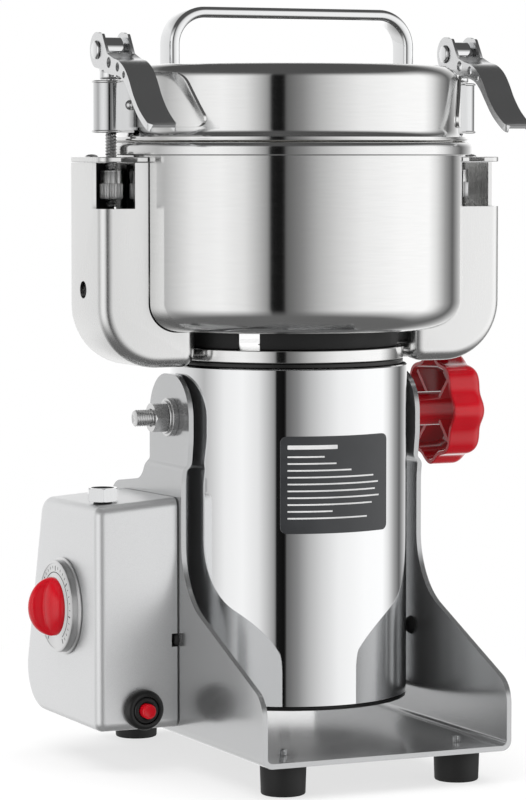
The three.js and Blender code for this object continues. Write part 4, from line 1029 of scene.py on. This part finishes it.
def make_rod(side_name, x):
    """The threaded rod, its collar above the ear, and the eye that the lever's pin goes through."""
    name = "clamp_rod_" + side_name
    low = span(name)[0].z
    collar = EAR_TOP + 1.7
    at = (x, 0, 0)
    thread = threaded(ROD_R, 0.6, 1.5, low, EAR_BOTTOM + 2, "Z", at, 36)
    placed(thread, name + "_thread", "lid", ZINC, [name], 50)
    top = collar + 4.6
    stem = [(0, EAR_BOTTOM + 2), (2.4, EAR_BOTTOM + 2), (2.4, collar), (5, collar), (5.4, collar + 0.4),
            (5.4, top - 0.5), (4.9, top), (0, top)]
    placed(lathe(stem, 64, "Z", at), name + "_collar", "lid", CHROME, (), 45)
    eye = rod(6.2, -4.4, 4.4, "X", (0, 0, PIN_Z), 64)
    join(eye, block(-4.4, 4.4, -3.6, 3.6, top - 1, PIN_Z))
    cut(eye, rod(PIN_HOLE_R, -9, 9, "X", (0, 0, PIN_Z), 48))
    moved(soften(eye, 0.4, 3, 40), at)
    placed(eye, name + "_eye", "lid", CHROME)


def make_nut(side_name, x):
    """A nut with straight knurls below and a smooth shoulder above."""
    name = "clamp_nut_" + side_name
    low, high = NUT_LOW.z, NUT_HIGH.z
    knurl_top = 286.5
    flutes, per_flute = 30, 6
    core, knurl = 5.05, 0.55
    sides = flutes * per_flute
    rings = []
    for z, share_out in ((low, 0.0), (low + 0.5, 1.0), (knurl_top - 0.4, 1.0), (knurl_top, 0.0)):
        ring = []
        for i in range(sides):
            a = 2 * math.pi * i / sides
            ridge = abs(2 * ((i / per_flute) % 1) - 1)
            r = core + share_out * knurl * ridge
            ring.append((r * math.cos(a), r * math.sin(a), z))
        rings.append(ring)
    grip = loft(rings)
    bore = ROD_R + 0.2
    smooth = [
        (bore, knurl_top - 0.2), (5.2, knurl_top - 0.2), (5.2, high - 1.3), (5, high - 1),
        (5, high - 0.9), (5.2, high - 0.7), (5.2, high - 0.3), (4.9, high), (bore, high),
    ]
    join(grip, rod(4.4, knurl_top - 0.3, knurl_top + 0.3))
    cut(grip, rod(bore, 0, FAR, sides=48))
    placed(moved(grip, (x, 0, 0)), name + "_knurl", name, NUT_STEEL, [name], 40)
    placed(lathe(smooth, 64, "Z", (x, 0, 0)), name + "_shoulder", name, NUT_STEEL, (), 40)


def make_pin(side_name, x):
    name = "lever_pin_" + side_name
    head = LEVER_HALF + 0.3
    right = [
        (PIN_R, head), (4.6, head), (4.6, head + 0.2), (4.1, head + 0.9), (3.4, head + 1.2), (0, head + 1.2),
    ]
    left = [(r, -h) for r, h in right[::-1]]
    pin = lathe(left + right, 64, "X", (x, 0, PIN_Z))
    placed(pin, name + "_turned", "lid", CHROME, [name], 40)


LEVER_LINE = [
    (-12, -1.5), (-20, -4.2), (-28, -6), (-35, -9.6), (-40.5, -15),
    (-46, -22.4), (-53, -29.2), (-61, -34.4), (-65.5, -36.4),
]
LEVER_HOLES = [(-15.5, -6.4, 2.6), (-26.4, -8.8, 2.2), (-34.2, -12.6, 1.7)]


def curve_through(points, per_span=6):
    """A smooth line through points, a Catmull-Rom spline."""
    line = [Vector(p) for p in points]
    ends = [2 * line[0] - line[1]] + line + [2 * line[-1] - line[-2]]
    made = []
    for i in range(1, len(ends) - 2):
        a, b, c, d = ends[i - 1:i + 3]
        for k in range(per_span):
            t = k / per_span
            made.append(0.5 * (2 * b + (c - a) * t + (2 * a - 5 * b + 4 * c - d) * t**2
                               + (3 * b - a - 3 * c + d) * t**3))
    return made + [line[-1]]


def lever_band(deep, shallow):
    """The side view of a band under the lever's line, its depth changing from deep to shallow."""
    top = curve_through(LEVER_LINE)
    under = []
    for i, p in enumerate(top):
        ahead = (top[min(i + 1, len(top) - 1)] - top[max(i - 1, 0)]).normalized()
        depth = deep + (shallow - deep) * min(1, 1.6 * i / (len(top) - 1))
        under.append(p + Vector((-ahead.y, ahead.x)) * depth)
    return [tuple(p) for p in top + under[::-1]]


def make_lever(side_name, x):
    """A curved channel with two lugs round the pin and weight-saving holes in its sides."""
    half, inside = LEVER_HALF, LEVER_HALF - LEVER_SHEET
    cheeks = slab(lever_band(9.5, 3.4), -half, half, "X")
    lug = [(1, -8.5), (2, 8.3, 2), (-7, 7.6, 2), (-13, -1.6), (-13, -10.5)]
    join(cheeks, rod(8.6, -half, half, "X", sides=96), slab(lug, -half, half, "X"))
    cut(cheeks, block(-inside, inside, -FAR, FAR, -FAR, FAR))
    lever = join(slab(lever_band(LEVER_SHEET, LEVER_SHEET), -half, half, "X"), cheeks)
    tools = [rod(PIN_HOLE_R, -FAR, FAR, "X", sides=48)]
    for y, z, radius in LEVER_HOLES:
        tools.append(rod(radius, -FAR, FAR, "X", (0, y, z), 32))
    cut(lever, *tools)
    left = [(-half - 1, 20), (-half - 1, -58), (-half, -66.5, 6)]
    plan = left + [(-x, *rest) for x, *rest in left[::-1]]
    share(lever, slab(plan, -60, 60, "Z", steps=10))
    soften(lever, 0.4, 3, 40)
    moved(lever, (x, 0, PIN_Z))
    name = "clamp_lever_" + side_name
    placed(lever, name + "_pressed", name, LEVER_CHROME, [name], 40)


# ---- tilt knob ----


def make_tilt_knob():
    """A fluted cup that opens towards the upright, with crossed ribs, a hub and its stud."""
    start, end = KNOB_RIM_X, KNOB_HIGH.x
    peak = KNOB_HIGH.z - PIVOT_Z
    flutes, per_flute = 8, 20
    sides = flutes * per_flute
    wall = 2.4

    def ring(offset, x, flute=FLUTE_DEPTH):
        points = []
        for i in range(sides):
            a = 2 * math.pi * i / sides
            dip = flute * (1 - math.cos(flutes * a)) / 2
            r = max(peak - offset - dip, 0.01)
            points.append((x, r * math.cos(a), r * math.sin(a)))
        return points

    outside = [(14, end), (10, end), (KNOB_EDGE, end)]
    turns = [math.pi / 2 * k / 8 for k in range(1, 9)]
    outside += [(KNOB_EDGE * (1 - math.sin(t)), end - KNOB_EDGE * (1 - math.cos(t))) for t in turns]
    outside += [(0, start + 0.4), (0.4, start)]
    inside = [(wall - 0.3, start), (wall, start + 0.4), (wall + 0.6, end - 7), (wall + 3, end - 3.4)]
    inside += [(12, end - 3)]
    rings = [ring(o, x, FLUTE_DEPTH if o < 10 else 1.0) for o, x in outside + inside]
    cup = loft(rings)
    ribs = []
    for turn in (45, 135):
        ribs.append(moved(block(start + 2.5, end - 3, -1, 1, -peak + 2.2, peak - 2.2), turn=turn, axis="X"))
    hub_x = 67.4
    hub = lathe([(0, hub_x), (8, hub_x), (8.5, hub_x + 0.5), (8.5, end - 3), (0, end - 3)], 64, "X")
    join(cup, *ribs, hub)
    soften(cup, 0.35, 3, 40)
    moved(cup, (0, 0, PIVOT_Z))
    placed(cup, "knob_cup", "tilt_knob", RED_PLASTIC, ["tilt_knob"], 38)
    stud = threaded(PIVOT_R - 0.1, 0.45, PIVOT_PITCH, 46, hub_x + 0.2, "X", (0, 0, PIVOT_Z), 36)
    placed(stud, "knob_stud", "tilt_knob", ZINC, (), 50)


# ---- everything the frame keeps ----

KEPT = [
    (BLACK_PLASTIC, ["timer_body", "breaker_body", "bottom_cover", "brush_yoke", "cooling_fan"]),
    (CORE_STEEL, ["upper_bracket", "stator"]),
    (TOOL_STEEL, ["lower_bearing", "upper_bearing", "main_shaft", "hammer_carrier", "lower_blade",
                  "upper_blade", "hammer_left", "hammer_right"]),
    (SEAL, ["shaft_seal"]),
    (COPPER, ["armature"]),
    (ZINC, ["rotor_nut"]),
]


def finish_kept():
    """These pieces stay as the CAD has them, with softened edges and materials of their own."""
    for material, nodes in KEPT:
        for node in nodes:
            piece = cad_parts[node]
            piece.data.materials.clear()
            piece.data.materials.append(material)
            soften(piece, 0.25 * MM, harden=False)


# ---- studio ----

CAMERA_FROM_AXIS = Vector((-732.5, -1570.1, 302.2))
CAMERA_AZIMUTH = 24.6
CAMERA_PITCH = 4.085
CAMERA_LENS = 157.26

# Brightness round the horizon, in degrees from the direction of the camera, positive to its right:
# two wide soft boxes with a dark gap between them, and a dark flag behind the object's right side.
STUDIO = [
    (-180, 1.12), (-150, 0.95), (-131, 0.82), (-108, 0.7), (-89, 0.5), (-78, 0.68), (-64, 0.92), (-45, 1.0),
    (-29, 0.84), (-19, 0.52), (-13, 0.3), (-11.5, 0.01), (-3, 0.005), (-1.5, 0.13), (2, 0.17), (9, 0.26),
    (20, 0.5), (33, 0.72), (50, 0.94), (80, 1.08), (104, 1.1), (113, 0.85), (125, 0.38), (137, 0.12),
    (149, 0.45), (164, 0.9), (180, 1.12),
]


def make_camera():
    data = bpy.data.cameras.new("camera")
    data.lens = CAMERA_LENS
    data.sensor_width = 36
    data.clip_start = 0.05
    data.clip_end = 100
    camera = linked("camera", data)
    camera.location = AXIS + CAMERA_FROM_AXIS * MM
    a, p = math.radians(CAMERA_AZIMUTH), math.radians(CAMERA_PITCH)
    ahead = Vector((math.sin(a) * math.cos(p), math.cos(a) * math.cos(p), -math.sin(p)))
    camera.rotation_mode = "QUATERNION"
    camera.rotation_quaternion = ahead.to_track_quat("-Z", "Y")
    bpy.context.scene.camera = camera


def ramp(tree, value, stops):
    """A colour ramp of greys over 0 to 1."""
    node = tree.nodes.new("ShaderNodeValToRGB")
    elements = node.color_ramp.elements
    while len(elements) > 1:
        elements.remove(elements[0])
    elements[0].position = stops[0][0]
    elements[0].color = (stops[0][1],) * 3 + (1,)
    for position, grey in stops[1:]:
        elements.new(position).color = (grey,) * 3 + (1,)
    tree.links.new(value, node.inputs["Fac"])
    return node.outputs["Color"]


def make_world():
    """Soft boxes all round at eye height, dimmer straight up and down; the backdrop itself is plain white."""
    world = bpy.data.worlds.new("studio")
    bpy.context.scene.world = world
    world.use_nodes = True
    tree = world.node_tree
    tree.nodes.clear()

    def math_node(operation, *values):
        node = tree.nodes.new("ShaderNodeMath")
        node.operation = operation
        for socket, value in zip(node.inputs, values):
            if isinstance(value, (int, float)):
                socket.default_value = value
            else:
                tree.links.new(value, socket)
        return node.outputs[0]

    direction = tree.nodes.new("ShaderNodeTexCoord").outputs["Generated"]
    split = tree.nodes.new("ShaderNodeSeparateXYZ")
    tree.links.new(direction, split.inputs[0])
    x, y, z = split.outputs
    a = math.radians(CAMERA_AZIMUTH)
    right = math_node("ADD", math_node("MULTIPLY", x, math.cos(a)), math_node("MULTIPLY", y, -math.sin(a)))
    near = math_node("ADD", math_node("MULTIPLY", x, -math.sin(a)), math_node("MULTIPLY", y, -math.cos(a)))
    turn = math_node("ADD", math_node("DIVIDE", math_node("ARCTAN2", right, near), 2 * math.pi), 0.5)
    ring = ramp(tree, turn, [((angle + 180) / 360, grey) for angle, grey in STUDIO])
    height = math_node("ADD", math_node("MULTIPLY", z, 0.5), 0.5)
    poles = ramp(tree, height, [(0.0, 1.0), (0.15, 1.0), (0.33, 0.0), (0.66, 0.0), (0.82, 1.0), (1.0, 1.0)])
    pole_grey = ramp(tree, height, [(0.0, 0.14), (0.45, 0.14), (0.55, 0.085), (1.0, 0.085)])
    mix = tree.nodes.new("ShaderNodeMix")
    mix.data_type = "RGBA"
    tree.links.new(poles, mix.inputs["Factor"])
    tree.links.new(ring, mix.inputs["A"])
    tree.links.new(pole_grey, mix.inputs["B"])
    light = tree.nodes.new("ShaderNodeBackground")
    tree.links.new(mix.outputs["Result"], light.inputs["Color"])
    white = tree.nodes.new("ShaderNodeBackground")
    white.inputs["Color"].default_value = (1, 1, 1, 1)
    choose = tree.nodes.new("ShaderNodeMixShader")
    path = tree.nodes.new("ShaderNodeLightPath")
    tree.links.new(path.outputs["Is Camera Ray"], choose.inputs["Fac"])
    tree.links.new(light.outputs[0], choose.inputs[1])
    tree.links.new(white.outputs[0], choose.inputs[2])
    out = tree.nodes.new("ShaderNodeOutputWorld")
    tree.links.new(choose.outputs[0], out.inputs["Surface"])


FLOOR_GREY = 0.93
FLOOR_FADE = (0.12, 0.42)
FLOOR_GLOW = 0.68


def make_floor():
    """A wide pale floor that the steel doesn't reflect.

    A share of it, FLOOR_GLOW, is plain white light. That grows to all of it between the two distances of
    FLOOR_FADE, in metres from the middle, so that no horizon shows.
    """
    reach = 30
    mesh = bpy.data.meshes.new("floor")
    corners = [(-reach, -reach, 0), (reach, -reach, 0), (reach, reach, 0), (-reach, reach, 0)]
    mesh.from_pydata(corners, [], [(0, 1, 2, 3)])
    floor = linked("floor", mesh)
    material, tree, shader = new_material("pale_floor")
    shader.inputs["Base Color"].default_value = (FLOOR_GREY, FLOOR_GREY, FLOOR_GREY, 1)
    shader.inputs["Roughness"].default_value = 0.9
    shader.inputs["Specular IOR Level"].default_value = 0.0
    glow = tree.nodes.new("ShaderNodeEmission")
    mix = tree.nodes.new("ShaderNodeMixShader")
    distance = tree.nodes.new("ShaderNodeVectorMath")
    distance.operation = "LENGTH"
    tree.links.new(tree.nodes.new("ShaderNodeTexCoord").outputs["Object"], distance.inputs[0])
    fade = tree.nodes.new("ShaderNodeMapRange")
    fade.interpolation_type = "SMOOTHSTEP"
    fade.inputs["From Min"].default_value = FLOOR_FADE[0]
    fade.inputs["From Max"].default_value = FLOOR_FADE[1]
    fade.inputs["To Min"].default_value = FLOOR_GLOW
    tree.links.new(distance.outputs["Value"], fade.inputs["Value"])
    tree.links.new(fade.outputs["Result"], mix.inputs["Fac"])
    tree.links.new(shader.outputs[0], mix.inputs[1])
    tree.links.new(glow.outputs[0], mix.inputs[2])
    tree.links.new(mix.outputs[0], tree.nodes["Material Output"].inputs["Surface"])
    mesh.materials.append(material)
    floor.visible_glossy = False


def area_light(name, place, size, power, aim):
    data = bpy.data.lights.new(name, "AREA")
    data.shape = "RECTANGLE"
    data.size, data.size_y = size
    data.energy = power
    light = linked(name, data)
    light.location = AXIS + Vector(place)
    light.rotation_mode = "QUATERNION"
    light.rotation_quaternion = (AXIS + Vector(aim) - light.location).to_track_quat("-Z", "Y")
    light.visible_glossy = False


def make_lights():
    area_light("overhead", (0.0, 0.0, 3.0), (5, 5), 190, (0, 0, 0))
    area_light("front_fill", (-1.4, -1.8, 1.3), (1.2, 1.2), 8, (0, 0, 0.2))


def build():
    for make in (
        make_frame, make_feet, make_bumpers, make_switch_box, make_dial, make_timer_knob, make_breaker,
        make_gland, make_motor, make_rating_plate, make_bottom_cover, make_pivot, make_neck, make_bowl,
    ):
        make()
    relief = KNOB_HIGH.z - PIVOT_Z + 1.5
    make_arm("arm_left", window_in_x=-91, relief=1, mirror=False)
    make_arm("arm_right", window_in_x=-BOWL_R + 10, relief=relief, mirror=True)
    # a black sheet of painted shade inside the left arm, behind its window
    make_arm_painted_shade()
    make_cap("arm_cap_left", mirror=False)
    make_cap("arm_cap_right", mirror=True)
    make_lid()
    make_handle()
    for side_name, side in (("left", -1), ("right", 1)):
        make_ear(side_name, 0 if side < 0 else 180)
        make_ear_screw(side_name)
        make_rod(side_name, side * ROD_X)
        make_nut(side_name, side * ROD_X)
        make_pin(side_name, side * ROD_X)
        make_lever(side_name, side * ROD_X)
    make_tilt_knob()
    finish_kept()


bpy.context.scene.view_settings.view_transform = "Standard"
make_camera()
make_world()
make_floor()
make_lights()
build()
